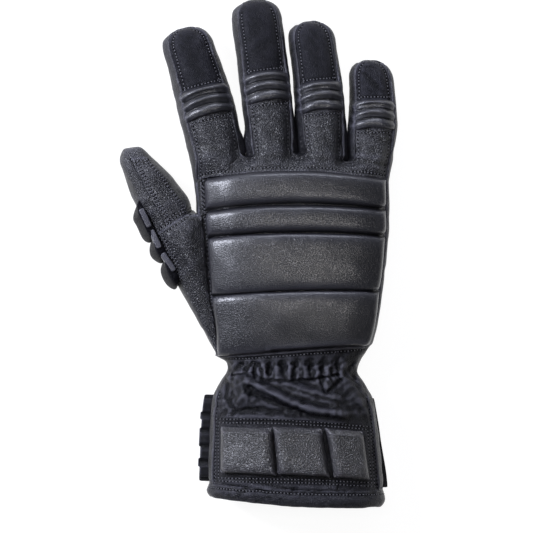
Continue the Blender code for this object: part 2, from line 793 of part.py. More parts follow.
def cushion(place, columns, rows, height):
    """A padded block on the skin, over a grid of places on it that place gives for column and row."""
    mesh = bmesh.new()
    wall = mesh.verts.layers.float_vector.new("wall")
    fill = mesh.verts.layers.float.new("fill")
    last_column, last_row = len(columns) - 1, len(rows) - 1
    bmesh.ops.create_grid(mesh, x_segments=last_column, y_segments=last_row, size=1.0)
    for vert in mesh.verts:
        column = round((vert.co.x + 1) / 2 * last_column)
        row = round((vert.co.y + 1) / 2 * last_row)
        on_edge = column in (0, last_column) or row in (0, last_row)
        vert[fill] = PAD_EDGE_FILL if on_edge else 1.0
        vert.co = place(columns[column], rows[row])
    mesh.normal_update()
    outwards = 1 if sum(face.normal.z for face in mesh.faces) > 0 else -1
    for vert in mesh.verts:
        vert[wall] = vert.normal * outwards
    return raise_wall(mesh, lambda vert: SEAT_GAP, lambda vert: SEAT_GAP + height * vert[fill])


def cuff_pad(pad):
    """One of the padded blocks on the back of the cuff."""
    skin_columns = [2 * column / BACK_COLUMNS - 1 for column in range(BACK_COLUMNS + 1)]
    skin_rows = [row.along for row in CUFF_ROWS]
    columns = lines_between(pad.left, pad.right, skin_columns, 2 * PAD_EDGE / CUFF_WIDTH)
    rows = lines_between(CUFF_PAD_TOP, CUFF_PAD_FOOT, skin_rows, PAD_EDGE / CUFF_LENGTH)
    return cushion(cuff_facet, columns, rows, CUFF_FOAM)


def thumb_pad(pad):
    """One of the padded segments on the outer edge of the thumb."""
    loop_columns = list(range(2 * THUMB_COLUMNS))
    stations = [*GUSSET_STEPS, *(1 + row.along for row in THUMB_ROWS)]
    columns = lines_between(*THUMB_PAD_COLUMNS, loop_columns, THUMB_PAD_EDGE)
    rows = lines_between(pad.start, pad.end, stations, PAD_EDGE / THUMB_LENGTH)
    return cushion(lambda column, station: thumb_place(station, column), columns, rows, THUMB_FOAM)


def strap_place(across, along):
    """A point on the underside of the closing strap, whose ends turn up beyond the cuff."""
    x, y = cuff_plan(across / SIDE_SEAM, along)
    x += abs(across) ** STRAP_END_POWER * (STRAP_REACH_RIGHT if across > 0 else -STRAP_REACH_LEFT)
    curl = max(abs(across) - STRAP_FLAT, 0.0) / (1 - STRAP_FLAT)
    return Vector((x, y, STRAP_CURL * curl**2))


def closure_strap():
    """The wide closing strap that the cuff lies on."""
    across_cells, along_cells = STRAP_CELLS
    mesh = bmesh.new()
    wall = mesh.verts.layers.float_vector.new("wall")
    bmesh.ops.create_grid(mesh, x_segments=across_cells, y_segments=along_cells, size=1.0)
    for vert in mesh.verts:
        share = (1 + vert.co.y) / 2
        vert.co = strap_place(vert.co.x, STRAP_TOP + (STRAP_FOOT - STRAP_TOP) * share)
        vert[wall] = Vector((0, 0, 1))
    return raise_wall(mesh, lambda vert: 0.0, lambda vert: STRAP_THICKNESS)


def strap_grip():
    """The ribbed rubber end of the strap, to pull it open by."""
    mesh = bmesh.new()
    wall = mesh.verts.layers.float_vector.new("wall")
    fill = mesh.verts.layers.float.new("fill")
    across_cells, rib_cells = 3, 4
    cells = rib_cells * GRIP_RIBS
    bmesh.ops.create_grid(mesh, x_segments=across_cells, y_segments=cells, size=1.0)
    for vert in mesh.verts:
        share = (1 + vert.co.y) / 2
        on_rib = round(share * cells) % rib_cells != 0
        along = STRAP_TOP + (STRAP_FOOT - STRAP_TOP) * (GRIP_MARGIN + (1 - 2 * GRIP_MARGIN) * share)
        vert.co = strap_place(-1.0 + GRIP_WIDTH / CUFF_WIDTH * (vert.co.x + 1), along)
        vert[fill] = 1.0 if on_rib else GRIP_VALLEY_FILL
        vert[wall] = Vector((0, 0, 1))
    base = STRAP_THICKNESS + SEAT_GAP
    return raise_wall(mesh, lambda vert: base, lambda vert: base + GRIP_HEIGHT * vert[fill])


def main():
    for old in list(bpy.data.objects):
        bpy.data.objects.remove(old, do_unlink=True)
    collection = bpy.data.collections.new("riot_glove")
    bpy.context.scene.collection.children.link(collection)
    root = bpy.data.objects.new("glove", None)
    collection.objects.link(root)

    skin = make_skin()
    made = []
    for number, (name, material) in enumerate(panel_materials().items()):
        made.append(finish_object(name, cut_panel(skin, number), material, collection, root))
    skin.mesh.free()
    for number, pad in enumerate(CUFF_PADS, 1):
        made.append(finish_object(f"cuff_pad_{number}", cuff_pad(pad), PAD_BLACK, collection, root))
    for number, pad in enumerate(THUMB_PADS, 1):
        made.append(finish_object(f"thumb_pad_{number}", thumb_pad(pad), PAD_BLACK, collection, root))
    made.append(finish_object("closure_strap", closure_strap(), STRAP_BLACK, collection, root))
    made.append(finish_object("strap_grip", strap_grip(), GRIP_BLACK, collection, root))

    corners = [vert.co for piece in made for vert in piece.data.vertices]
    middle = [(min(c[axis] for c in corners) + max(c[axis] for c in corners)) / 2 for axis in (0, 1)]
    shift = Vector((-middle[0], -middle[1], -min(c.z for c in corners)))
    for piece in made:
        for vert in piece.data.vertices:
            vert.co += shift


main()
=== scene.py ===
import math

import bmesh
import bpy
import numpy as np
from mathutils import Matrix, Vector
from mathutils.bvhtree import BVHTree
from mathutils.kdtree import KDTree


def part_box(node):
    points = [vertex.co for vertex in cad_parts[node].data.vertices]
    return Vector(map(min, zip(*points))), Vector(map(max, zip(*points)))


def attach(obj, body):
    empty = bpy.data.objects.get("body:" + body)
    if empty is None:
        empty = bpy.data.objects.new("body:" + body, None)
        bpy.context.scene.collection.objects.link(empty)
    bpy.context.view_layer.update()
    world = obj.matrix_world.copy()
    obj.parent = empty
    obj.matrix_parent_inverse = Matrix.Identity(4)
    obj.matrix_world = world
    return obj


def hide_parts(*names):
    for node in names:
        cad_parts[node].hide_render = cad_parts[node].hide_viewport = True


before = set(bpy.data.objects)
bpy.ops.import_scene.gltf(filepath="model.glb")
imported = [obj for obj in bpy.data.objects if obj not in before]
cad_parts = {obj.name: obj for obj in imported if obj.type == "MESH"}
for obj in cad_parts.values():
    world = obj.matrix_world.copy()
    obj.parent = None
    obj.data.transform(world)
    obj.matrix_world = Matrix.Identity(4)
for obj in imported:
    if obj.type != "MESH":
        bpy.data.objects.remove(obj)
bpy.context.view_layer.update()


# The view: the glove lies on a pale table and is seen from straight above, the fingers away from
# the cuff. The camera is far off with a long lens, as for a picture in a catalogue.
FIELD = 0.3067
LENS = 700.0
SENSOR = 36.0
VIEW_CENTRE = (0.0045, -0.0074)
VIEW_LEVEL = 0.016

bpy.context.scene.view_settings.view_transform = "Standard"
camera_data = bpy.data.cameras.new("camera")
camera_data.lens = LENS
camera_data.sensor_width = SENSOR
camera = bpy.data.objects.new("camera", camera_data)
camera.location = (*VIEW_CENTRE, VIEW_LEVEL + FIELD * LENS / SENSOR)
bpy.context.scene.collection.objects.link(camera)
bpy.context.scene.camera = camera

floor_mesh = bmesh.new()
bmesh.ops.create_grid(floor_mesh, x_segments=1, y_segments=1, size=3.0)
floor_data = bpy.data.meshes.new("table_top")
floor_mesh.to_mesh(floor_data)
floor_mesh.free()
floor = bpy.data.objects.new("table_top", floor_data)
bpy.context.scene.collection.objects.link(floor)
floor_paint = bpy.data.materials.new("pale_table")
floor_paint.use_nodes = True
floor_shader = floor_paint.node_tree.nodes["Principled BSDF"]
floor_shader.inputs["Base Color"].default_value = (0.15, 0.15, 0.15, 1.0)
floor_shader.inputs["Roughness"].default_value = 0.9
floor_shader.inputs["Specular IOR Level"].default_value = 0.2
floor_shader.inputs["Emission Color"].default_value = (1.0, 1.0, 1.0, 1.0)
floor_shader.inputs["Emission Strength"].default_value = 0.93
floor_data.materials.append(floor_paint)

world = bpy.data.worlds.new("studio")
bpy.context.scene.world = world
world.use_nodes = True
world.node_tree.nodes["Background"].inputs["Color"].default_value = (0.80, 0.86, 1.0, 1.0)
world.node_tree.nodes["Background"].inputs["Strength"].default_value = 0.08


def soft_light(name, place, size, power, colour):
    """A rectangular soft light that faces the middle of the glove."""
    data = bpy.data.lights.new(name, "AREA")
    data.shape = "RECTANGLE"
    data.size, data.size_y = size
    data.energy = power
    data.color = colour
    lamp = bpy.data.objects.new(name, data)
    lamp.location = place
    lamp.rotation_euler = (Vector((0.01, 0.0, 0.02)) - Vector(place)).to_track_quat("-Z", "Y").to_euler()
    lamp.visible_camera = False
    bpy.context.scene.collection.objects.link(lamp)


soft_light("window_left", (-0.84, 0.42, 0.72), (0.35, 0.6), 25.0, (0.84, 0.87, 1.0))
soft_light("strip_above", (0.165, -0.04, 1.05), (0.05, 0.9), 3.1, (1.0, 0.97, 0.95))
soft_light("window_top", (0.10, 0.95, 0.42), (0.7, 0.30), 6.2, (0.84, 0.87, 1.0))


# The padded back of the hand: one piece of smooth black leather over foam, sewn down along four
# channels, so that it stands up in five bands. It is the first of the leather pieces.
MERGE_GAP = 1e-5
QUAD_BEND = math.radians(40)
RIM_TURN = math.radians(58)
SHOULDER_TURN = math.radians(24)
VALLEY_TURN = math.radians(14)
# A panel's edge is moved this far towards its neighbour, to close the CAD's clearance
SEAM_CLOSE = 0.00022
TIP_HOLD = 0.85
# The smooth piece is swelled in steps until it fills its CAD solid again
FILL_STEPS = 3
FILL_SHARE = 0.85
WELD_GAP = 0.00085
FINGERS = ("index", "middle", "ring", "little")
ARCH_RISE = 0.0026
ARCH_REACH = 0.012
# How far each finger lies out to its left, and how much longer its tip is, from index to little finger
FINGER_LIE = ((0.0014, 0.0), (0.0010, 0.0014), (0.0006, 0.0), (0.0, 0.0))
HEEL_SHIFT = 0.0016
HEEL_PLACE = -0.047


def finger_frame(finger):
    """The middle of a finger's ribs, the ways along and across it, and half the ribs' width."""
    rib_mesh, tip_mesh = (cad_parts[f"{finger}_{part}"].data for part in ("knuckle_ribs", "tip_back"))
    rib_places, tip_places = (np.array([vert.co for vert in mesh.vertices]) for mesh in (rib_mesh, tip_mesh))
    centre = (rib_places.min(axis=0) + rib_places.max(axis=0)) / 2
    way = (tip_places.min(axis=0) + tip_places.max(axis=0)) / 2 - centre
    way[2] = 0.0
    way /= np.linalg.norm(way)
    across = np.array((way[1], -way[0], 0.0))
    reach = (rib_places - centre) @ across
    return centre, way, across, (reach.max() - reach.min()) / 2


RIB_ARCHES = [finger_frame(finger) for finger in FINGERS]
# The end of each fingertip, and how far round it the seam is sewn flush
TIP_ENDS = []
for finger in FINGERS:
    tip_low, tip_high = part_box(f"{finger}_tip_back")
    TIP_ENDS.append((((tip_low[0] + tip_high[0]) / 2, tip_high[1]), 0.0115))


def joined_corners(node):
    """The mesh of a CAD node with the corners of its loose triangles merged."""
    mesh = bmesh.new()
    mesh.from_mesh(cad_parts[node].data)
    bmesh.ops.remove_doubles(mesh, verts=mesh.verts[:], dist=MERGE_GAP)
    return mesh


def joined(node):
    """The mesh of a CAD node with its loose triangles joined to faces of four sides."""
    mesh = joined_corners(node)
    bmesh.ops.join_triangles(
        mesh, faces=mesh.faces[:], angle_face_threshold=QUAD_BEND, angle_shape_threshold=QUAD_BEND
    )
    return mesh


def welded(nodes):
    """The panels of these CAD nodes in one mesh, joined where their edges meet, with open seams closed."""
    mesh = bmesh.new()
    owner = mesh.verts.layers.int.new("panel")
    for number, node in enumerate(nodes):
        part = joined_corners(node)
        data = bpy.data.meshes.new("part")
        part.to_mesh(data)
        part.free()
        before = len(mesh.verts)
        mesh.from_mesh(data)
        bpy.data.meshes.remove(data)
        mesh.verts.ensure_lookup_table()
        for vert in mesh.verts[before:]:
            vert[owner] = number + 1
    first = [vert for vert in mesh.verts if vert[owner] == 1]
    others = [vert for vert in mesh.verts if vert[owner] > 1]
    tree = KDTree(len(first))
    for index, vert in enumerate(first):
        tree.insert(vert.co, index)
    tree.balance()
    targets, seam_verts = {}, set()
    for vert in others:
        place, index, gap = tree.find(vert.co)
        if gap < WELD_GAP:
            middle = (place + vert.co) / 2
            first[index].co = middle
            vert.co = middle
            targets[vert] = first[index]
            seam_verts.add(first[index])
    bmesh.ops.weld_verts(mesh, targetmap=targets)
    inner = [face for face in mesh.faces if all(vert in seam_verts for vert in face.verts)]
    bmesh.ops.delete(mesh, geom=inner, context="FACES_ONLY")
    loose = [edge for edge in mesh.edges if not edge.link_faces]
    bmesh.ops.delete(mesh, geom=loose, context="EDGES")
    bmesh.ops.join_triangles(
        mesh, faces=mesh.faces[:], angle_face_threshold=QUAD_BEND, angle_shape_threshold=QUAD_BEND
    )
    return mesh


def read(piece, what="co"):
    """The places or the normals of a piece's points, as rows of three numbers."""
    values = np.empty(len(piece.data.vertices) * 3)
    piece.data.vertices.foreach_get(what, values)
    return values.reshape(-1, 3)


def smooth_step(value):
    """Rises softly from 0 to 1 as the value goes from 0 to 1."""
    held = np.clip(value, 0.0, 1.0)
    return held * held * (3.0 - 2.0 * held)


def settle(points):
    """Bends the ribs into arches towards the tips, and lets the fingers and the heel lie as they do."""
    moved = points.copy()
    for (centre, way, across, half_width), (spread, longer) in zip(RIB_ARCHES, FINGER_LIE):
        off = points - centre
        along = off @ way
        side = off @ across / half_width
        held = np.clip((1.45 - np.abs(side)) / 0.35, 0.0, 1.0)
        share = np.exp(-((along / ARCH_REACH) ** 2)) * held
        share *= np.clip((points[:, 2] - 0.010) / 0.006, 0.0, 1.0)
        moved += (share * ARCH_RISE * (0.5 - np.clip(side, -1.0, 1.0) ** 2))[:, None] * way
        beyond = smooth_step((along + 0.030) / 0.040) * held
        moved -= (beyond * spread * np.clip(0.3 - side, 0.0, 1.0))[:, None] * across
        moved += (smooth_step((along - 0.010) / 0.030) * held * longer)[:, None] * way
    moved[:, 0] += HEEL_SHIFT * np.exp(-(((points[:, 1] - HEEL_PLACE) / 0.013) ** 2))
    return moved


def outer_skin(mesh):
    """The faces of a panel's outer side, and the edges between it and the rest of the panel."""
    sharp = {edge for edge in mesh.edges if len(edge.link_faces) == 2 and edge.calc_face_angle() > RIM_TURN}
    left, skins = set(mesh.faces), []
    while left:
        group, grow = set(), [left.pop()]
        while grow:
            face = grow.pop()
            group.add(face)
            for edge in face.edges:
                if edge in sharp:
                    continue
                for other in edge.link_faces:
                    if other in left:
                        left.discard(other)
                        grow.append(other)
        skins.append(group)
    skin = max(skins, key=lambda group: sum(face.calc_area() for face in group))
    return skin, {edge for edge in sharp if sum(face in skin for face in edge.link_faces) == 1}


def turn_rims(mesh, turn):
    """Rolls a panel's edge down into the seam and brings it up to its neighbour."""
    skin, rim = outer_skin(mesh)
    moves = {}
    for vert in {vert for edge in rim for vert in edge.verts}:
        under = [
            edge.other_vert(vert)
            for edge in vert.link_edges
            if not any(face in skin for face in edge.link_faces)
        ]
        if not under:
            continue
        foot = min(under, key=lambda other: (other.co - vert.co).length)
        way = sum((face.normal for face in vert.link_faces if face not in skin), Vector()).normalized()
        share = turn * (1.0 - TIP_HOLD * near_tip(vert.co))
        moves[vert] = (foot.co - vert.co) * share + way * SEAM_CLOSE
        moves[foot] = way * SEAM_CLOSE
    for vert, move in moves.items():
        vert.co += move


def near_tip(place):
    """How near a place is to a fingertip's end, from 0 to 1: there the seam is sewn almost flush."""
    return max(
        max(0.0, 1.0 - math.dist(place[:2], centre[:2]) / reach) ** 0.5 for centre, reach in TIP_ENDS
    )


def smoothed(cage, levels):
    """The cage's mesh after subdivision."""
    smooth = cage.modifiers.new("smooth", "SUBSURF")
    smooth.levels = smooth.render_levels = levels
    bpy.context.view_layer.update()
    finished = bpy.data.meshes.new_from_object(cage.evaluated_get(bpy.context.evaluated_depsgraph_get()))
    cage.modifiers.clear()
    return finished


def soft_copy(nodes, name, levels, rim_crease, shoulder_crease=0.0, turn=0.0, valley_crease=0.0):
    """A piece that stands for CAD nodes: smooth, as full as they are, its edges rolled and creased."""
    mesh = joined(nodes) if isinstance(nodes, str) else welded(nodes)
    crease = mesh.edges.layers.float.get("crease_edge") or mesh.edges.layers.float.new("crease_edge")
    for edge in mesh.edges:
        edge.smooth = True
        turned = edge.calc_face_angle_signed() if len(edge.link_faces) == 2 else 0.0
        if abs(turned) > RIM_TURN:
            edge[crease] = rim_crease
        elif turned < -VALLEY_TURN and valley_crease:
            edge[crease] = valley_crease
        elif abs(turned) > SHOULDER_TURN:
            edge[crease] = shoulder_crease
    for face in mesh.faces:
        face.smooth = True
    if turn:
        turn_rims(mesh, turn)
    data = bpy.data.meshes.new(name)
    mesh.to_mesh(data)
    mesh.free()
    cage = bpy.data.objects.new(name, data)
    bpy.context.scene.collection.objects.link(cage)
    arched = settle(read(cage))
    data.vertices.foreach_set("co", arched.ravel())
    for _ in range(FILL_STEPS):
        trial = smoothed(cage, 1)
        reached = np.empty(len(trial.vertices) * 3)
        trial.vertices.foreach_get("co", reached)
        reached = reached.reshape(-1, 3)[: len(arched)]
        bpy.data.meshes.remove(trial)
        fuller = read(cage) + FILL_SHARE * (arched - reached)
        data.vertices.foreach_set("co", fuller.ravel())
        data.update()
    cage.data = smoothed(cage, levels)
    cage.data.materials.clear()
    return cage


def finish_piece(piece, nodes, material):
    """Gives a piece its leather, and puts it in the place of its CAD nodes."""
    nodes = (nodes,) if isinstance(nodes, str) else nodes
    piece.data.materials.append(material)
    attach(piece, "root")
    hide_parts(*nodes)
    for node in nodes:
        made[node] = piece


def uneven(points, size, seed):
    """A soft unevenness of about this size, from -1 to 1, the same at the same place on every piece."""
    draw = np.random.default_rng(seed)
    total = np.zeros(len(points))
    bent = points + 0.35 * size * np.sin(points[:, [1, 2, 0]] * (2.1 / size) + draw.uniform(0, 6.3, 3))
    for _ in range(6):
        way = draw.normal(size=3)
        way *= 2 * math.pi / (size * draw.uniform(0.8, 1.7) * np.linalg.norm(way))
        total += np.sin(bent @ way + draw.uniform(0, 6.3))
    return total / 3.2


def crumple(piece, size, height, seed):
    """Makes a piece's leather softly uneven, but leaves it flat where it rests on the table."""
    points = read(piece)
    free = smooth_step(points[:, 2] / 0.004)
    shift = (uneven(points, size, seed) * height * free)[:, None] * read(piece, "normal")
    moved = points + shift
    moved[:, 2] = np.maximum(moved[:, 2], np.minimum(points[:, 2], 0.0))
    piece.data.vertices.foreach_set("co", moved.ravel())
    piece.data.update()


# How much paler than the leather's lighter tone the crests are painted, as wear and painted highlight
WEAR_HIGHLIGHT_PALE = 3.4


def leather(name, colour, worn_and_lit, roughness, shine, grain, depth, coat=0.0, index=1.5):
    """Black leather: pebbled grain with painted glints on its tops and painted shade in its valleys, fine pores,
    soft creases, a cloudy tone, and crests paler from wear and painted highlight and hollows darker from painted
    shade.
    """
    material = bpy.data.materials.new(name)
    material.use_nodes = True
    tree = material.node_tree
    shader = tree.nodes["Principled BSDF"]

    def node(kind, **values):
        new = tree.nodes.new(kind)
        for key, value in values.items():
            setattr(new, key, value)
        return new

    def math_node(operation, first, second, third=None):
        new = node("ShaderNodeMath", operation=operation)
        for socket, value in zip(new.inputs, (first, second, third)):
            if isinstance(value, (int, float)):
                socket.default_value = value
            elif value is not None:
                tree.links.new(value, socket)
        return new.outputs[0]

    def noise_node(vector, scale, detail, distortion=0.0):
        new = node("ShaderNodeTexNoise")
        new.inputs["Scale"].default_value = scale
        new.inputs["Detail"].default_value = detail
        new.inputs["Distortion"].default_value = distortion
        tree.links.new(vector, new.inputs["Vector"])
        return new

    place = node("ShaderNodeTexCoord").outputs["Object"]
    stray = noise_node(place, 0.45 / grain, 2.0)
    bent = node("ShaderNodeVectorMath", operation="MULTIPLY_ADD")
    tree.links.new(stray.outputs["Color"], bent.inputs[0])
    bent.inputs[1].default_value = (grain, grain, grain)
    tree.links.new(place, bent.inputs[2])
    cells = node("ShaderNodeTexVoronoi", feature="DISTANCE_TO_EDGE")
    cells.inputs["Scale"].default_value = 1.0 / grain
    tree.links.new(bent.outputs[0], cells.inputs["Vector"])
    pebble = node("ShaderNodeMapRange", interpolation_type="SMOOTHSTEP")
    pebble.inputs["From Max"].default_value = 0.30
    tree.links.new(cells.outputs["Distance"], pebble.inputs["Value"])
    pores = noise_node(place, 2.6 / grain, 3.0)
    soft = noise_node(place, 110.0, 3.0, 0.6)
    creases = math_node("ABSOLUTE", math_node("SUBTRACT", soft.outputs["Fac"], 0.5), 0.0)
    fine = math_node("MULTIPLY", pores.outputs["Fac"], 0.45)
    height = math_node("MULTIPLY_ADD", pebble.outputs[0], 0.75, fine)
    height = math_node("MULTIPLY_ADD", creases, 0.55, height)
    bump = node("ShaderNodeBump")
    bump.inputs["Strength"].default_value = 1.0
    bump.inputs["Distance"].default_value = depth
    tree.links.new(height, bump.inputs["Height"])
    tree.links.new(bump.outputs["Normal"], shader.inputs["Normal"])

    cloudy = noise_node(place, 38.0, 3.0)
    wear_and_painted_light = node("ShaderNodeAttribute", attribute_name="wear_and_painted_light")
    # Painted glints on the grain's tops and painted shade in its valleys
    grain_glint_shade = math_node("MULTIPLY", pebble.outputs[0], 0.18)
    tone = math_node("MULTIPLY_ADD", cloudy.outputs["Fac"], 0.26, grain_glint_shade)
    # Painted shade: the curvature marks darken the hollows; on crests they lighten, part wear and part painted
    # highlight
    tone = math_node("MAXIMUM", math_node("ADD", wear_and_painted_light.outputs["Fac"], tone), 0.0)
    mixed = node("ShaderNodeMix", data_type="RGBA")
    tree.links.new(tone, mixed.inputs["Factor"])
    mixed.inputs["A"].default_value = (*colour, 1.0)
    mixed.inputs["B"].default_value = (*worn_and_lit, 1.0)
    # Crests are painted pale: part wear, part painted highlight
    pale = node("ShaderNodeMix", data_type="RGBA")
    tree.links.new(wear_and_painted_light.outputs["Fac"], pale.inputs["Factor"])
    tree.links.new(mixed.outputs["Result"], pale.inputs["A"])
    pale.inputs["B"].default_value = (*(WEAR_HIGHLIGHT_PALE * part for part in worn_and_lit), 1.0)
    tree.links.new(pale.outputs["Result"], shader.inputs["Base Color"])
    gloss = node("ShaderNodeMapRange")
    gloss.inputs["To Min"].default_value = roughness - 0.07
    gloss.inputs["To Max"].default_value = roughness + 0.09
    tree.links.new(cloudy.outputs["Fac"], gloss.inputs["Value"])
    tree.links.new(gloss.outputs[0], shader.inputs["Roughness"])
    polish = node("ShaderNodeBump")
    polish.inputs["Strength"].default_value = 1.0
    polish.inputs["Distance"].default_value = depth * 0.35
    tree.links.new(height, polish.inputs["Height"])
    tree.links.new(polish.outputs["Normal"], shader.inputs["Coat Normal"])
    shader.inputs["Coat Weight"].default_value = coat
    shader.inputs["Coat Roughness"].default_value = 0.22
    shader.inputs["IOR"].default_value = index
    shader.inputs["Specular IOR Level"].default_value = shine
    return material


made = {}
PAD_LEATHER = leather(
    "pad_leather", (0.0030, 0.0031, 0.0044), (0.020, 0.020, 0.025), 0.38, 0.43, 0.0010, 0.00011, 0.46
)
back_pad = soft_copy("back_pad", "padded_back", 3, 0.6, 0.2, valley_crease=0.85)
# How far the pad's left edge stands in from its seam: places along the glove, and how far, in metres
PAD_EDGE = (
    (-0.052, -0.046, -0.030, -0.017, 0.009, 0.0226, 0.034, 0.044),
    (0.0, 0.0003, 0.0013, 0.0015, 0.0017, 0.0027, 0.0034, 0.0038),
)
PAD_EDGE_REACH = 0.020


def draw_in(piece):
    """Draws the pad's left edge in from its seam, and leaves a strip of leather beside it."""
    points = read(piece)
    border = []
    for low in np.arange(points[:, 1].min(), points[:, 1].max(), 0.003):
        band = points[(points[:, 1] >= low) & (points[:, 1] < low + 0.003)]
        if len(band):
            border.append((low + 0.0015, band[:, 0].min()))
    border = np.array(border)
    off = points[:, 0] - np.interp(points[:, 1], border[:, 0], border[:, 1])
    shift = np.interp(points[:, 1], *PAD_EDGE)
    points[:, 0] += shift * (1.0 - smooth_step(off / PAD_EDGE_REACH))
    piece.data.vertices.foreach_set("co", points.ravel())
    piece.data.update()


draw_in(back_pad)
crumple(back_pad, 0.016, 0.00012, 11)
finish_piece(back_pad, "back_pad", PAD_LEATHER)


# The back of the hand above the pad and the backs of the fingers: fine-grained leather, turned in
# and sewn to the sides. The tips are smooth leather and the ribs are foam under the same leather.
HAND_TOP = 0.010
# Soft folds where the fingers bend, as points in millimetres, a height and a width on either side
HAND_FOLDS = (
    (((0.9, 75.7), (5.8, 70.6), (11.8, 65.4), (18.6, 61.7)), -0.9, 2.6, 3.2),
    (((39.4, 66.0), (41.6, 61.5), (44.5, 57.5)), -0.7, 1.4, 1.6),
    (((45.4, 53.9), (57.3, 53.3), (74.2, 50.8)), -0.7, 1.0, 1.3),
    (((48.0, 56.6), (60.0, 56.4), (74.0, 54.4)), 0.6, 1.6, 1.2),
    (((-6.0, 54.6), (17.0, 55.6), (40.0, 54.0)), -0.5, 2.6, 2.6),
    (((-34.0, 63.0), (-28.0, 60.0), (-20.0, 58.5)), -0.5, 2.0, 2.4),
    (((61.3, 103.3), (64.7, 99.9), (68.2, 96.4)), -0.5, 1.4, 2.4),
    (((63.0, 71.0), (68.0, 66.5), (75.5, 64.5)), -0.6, 1.2, 2.0),
)


def folds_of(points, folds):
    """The height of these folds over the points' places on plan, in metres."""
    plan = points[:, :2] * 1000.0
    total = np.zeros(len(plan))
    for line, height, left_width, right_width in folds:
        line = np.array(line)
        nearest = np.full(len(plan), 1e9)
        side = np.zeros(len(plan))
        for start, end in zip(line[:-1], line[1:]):
            way = end - start
            share = np.clip((plan - start) @ way / (way @ way), 0.0, 1.0)
            off = plan - start - share[:, None] * way
            gap = np.hypot(off[:, 0], off[:, 1])
            closer = gap < nearest
            nearest[closer] = gap[closer]
            side[closer] = (way[0] * off[:, 1] - way[1] * off[:, 0])[closer]
        width = np.where(side > 0, left_width, right_width)
        total += height * np.exp(-((nearest / width) ** 2))
    return total / 1000.0


def fold_hand(piece):
    """Lays the folds at the fingers' roots into the upper side of a piece, and its small creases."""
    points = read(piece)
    rise = smooth_step((points[:, 2] - HAND_TOP) / 0.008)
    points[:, 2] += rise * folds_of(points, HAND_FOLDS)
    piece.data.vertices.foreach_set("co", points.ravel())
    crumple(piece, 0.011, 0.00022, 21)
    crumple(piece, 0.0042, 0.00006, 22)


SHELL_LEATHER = leather(
    "shell_leather", (0.0028, 0.0029, 0.0042), (0.022, 0.022, 0.028), 0.38, 0.50, 0.0012, 0.00036
)
TIP_LEATHER = leather(
    "tip_leather", (0.0020, 0.0021, 0.0034), (0.014, 0.014, 0.019), 0.46, 0.13, 0.0010, 0.00032
)
RIB_PITCH = 0.0056
RIB_SPAN = 0.0084


def fill_ribs(piece, arch):
    """Fills the pleats of a finger's ribs out, so that only narrow creases are left between them."""
    centre, way, across, half_width = arch
    points = read(piece)
    off = points - centre
    side = np.clip(off @ across / half_width, -1.0, 1.0)
    along = off @ way
    along -= np.exp(-((along / ARCH_REACH) ** 2)) * ARCH_RISE * (0.5 - side**2)
    phase = np.abs(((along / RIB_PITCH + 0.5) % 1.0) * 2.0 - 1.0)
    fuller = 0.0021 * (phase**1.7 - phase**6)
    fuller *= (np.abs(along) < RIB_SPAN) * smooth_step((1.0 - np.abs(side)) / 0.25)
    fuller *= smooth_step((read(piece, "normal")[:, 2] - 0.2) / 0.4)
    points[:, 2] += fuller
    piece.data.vertices.foreach_set("co", points.ravel())
    piece.data.update()


for finger, arch in zip(FINGERS, RIB_ARCHES):
    ribs = soft_copy(f"{finger}_knuckle_ribs", f"{finger}_ribs", 3, 0.3, 0.0, valley_crease=0.95)
    fill_ribs(ribs, arch)
    fold_hand(ribs)
    finish_piece(ribs, f"{finger}_knuckle_ribs", PAD_LEATHER)
    tip = soft_copy(f"{finger}_tip_back", f"{finger}_tip", 3, 0.35, turn=0.5)
    fold_hand(tip)
    finish_piece(tip, f"{finger}_tip_back", TIP_LEATHER)
knuckles = soft_copy("knuckle_panel", "knuckle_leather", 3, 0.4, turn=0.35)
fold_hand(knuckles)
finish_piece(knuckles, "knuckle_panel", SHELL_LEATHER)


# The palm with the fronts and sides of the fingers, in one piece, and the strips between the
# fingers: smooth thin leather that lies flat where the glove rests on the table.
PALM_LEATHER = leather(
    "palm_leather", (0.0026, 0.0027, 0.0040), (0.022, 0.022, 0.028), 0.40, 0.32, 0.0011, 0.00024
)
palm = soft_copy("palm_panel", "palm_leather", 2, 0.35, turn=0.4)
fold_hand(palm)
finish_piece(palm, "palm_panel", PALM_LEATHER)
# Where two fingers' side leathers puff out and touch beyond their fork: how far along the glove, in
# metres, they touch fully and at all, for each fork from the index finger's
SLITS = ((0.065, 0.073), (0.076, 0.088), (0.068, 0.080))
SLIT_LEVEL = (0.012, 0.019)


def slit_line(strip):
    """The middle of the slit between two fingers, and half its width, at places along the glove."""
    points, facing = read(strip), read(strip, "normal")[:, 0]
    level = (points[:, 2] > SLIT_LEVEL[0]) & (points[:, 2] < SLIT_LEVEL[1])
    line = []
    for low in np.arange(points[:, 1].min(), points[:, 1].max(), 0.002):
        band = level & (points[:, 1] >= low) & (points[:, 1] < low + 0.002)
        left, right = points[band & (facing > 0.5), 0], points[band & (facing < -0.5), 0]
        if len(left) and len(right) and right.max() > left.min():
            line.append((low + 0.001, (left.min() + right.max()) / 2, (right.max() - left.min()) / 2))
    return np.array(line).T


def puff_sides(strip, full, none):
    """Puffs the side leathers of two neighbouring fingers towards each other beyond their fork."""
    points = read(strip)
    places, middles, halves = slit_line(strip)
    off = points[:, 0] - np.interp(points[:, 1], places, middles)
    half = np.interp(points[:, 1], places, halves) + 0.0002
    share = 1.0 - smooth_step((points[:, 1] - full) / (none - full))
    share *= np.exp(-(((points[:, 2] - 0.015) / 0.0085) ** 4))
    points[:, 0] -= np.sign(off) * share * np.minimum(np.abs(off), half) * 1.06
    strip.data.vertices.foreach_set("co", points.ravel())
    strip.data.update()


for number, (full, none) in enumerate(SLITS, start=1):
    strip = soft_copy(f"fork_strip_{number}", f"finger_side_{number}", 3, 0.35, turn=0.4)
    puff_sides(strip, full, none)
    fold_hand(strip)
    finish_piece(strip, f"fork_strip_{number}", PALM_LEATHER)


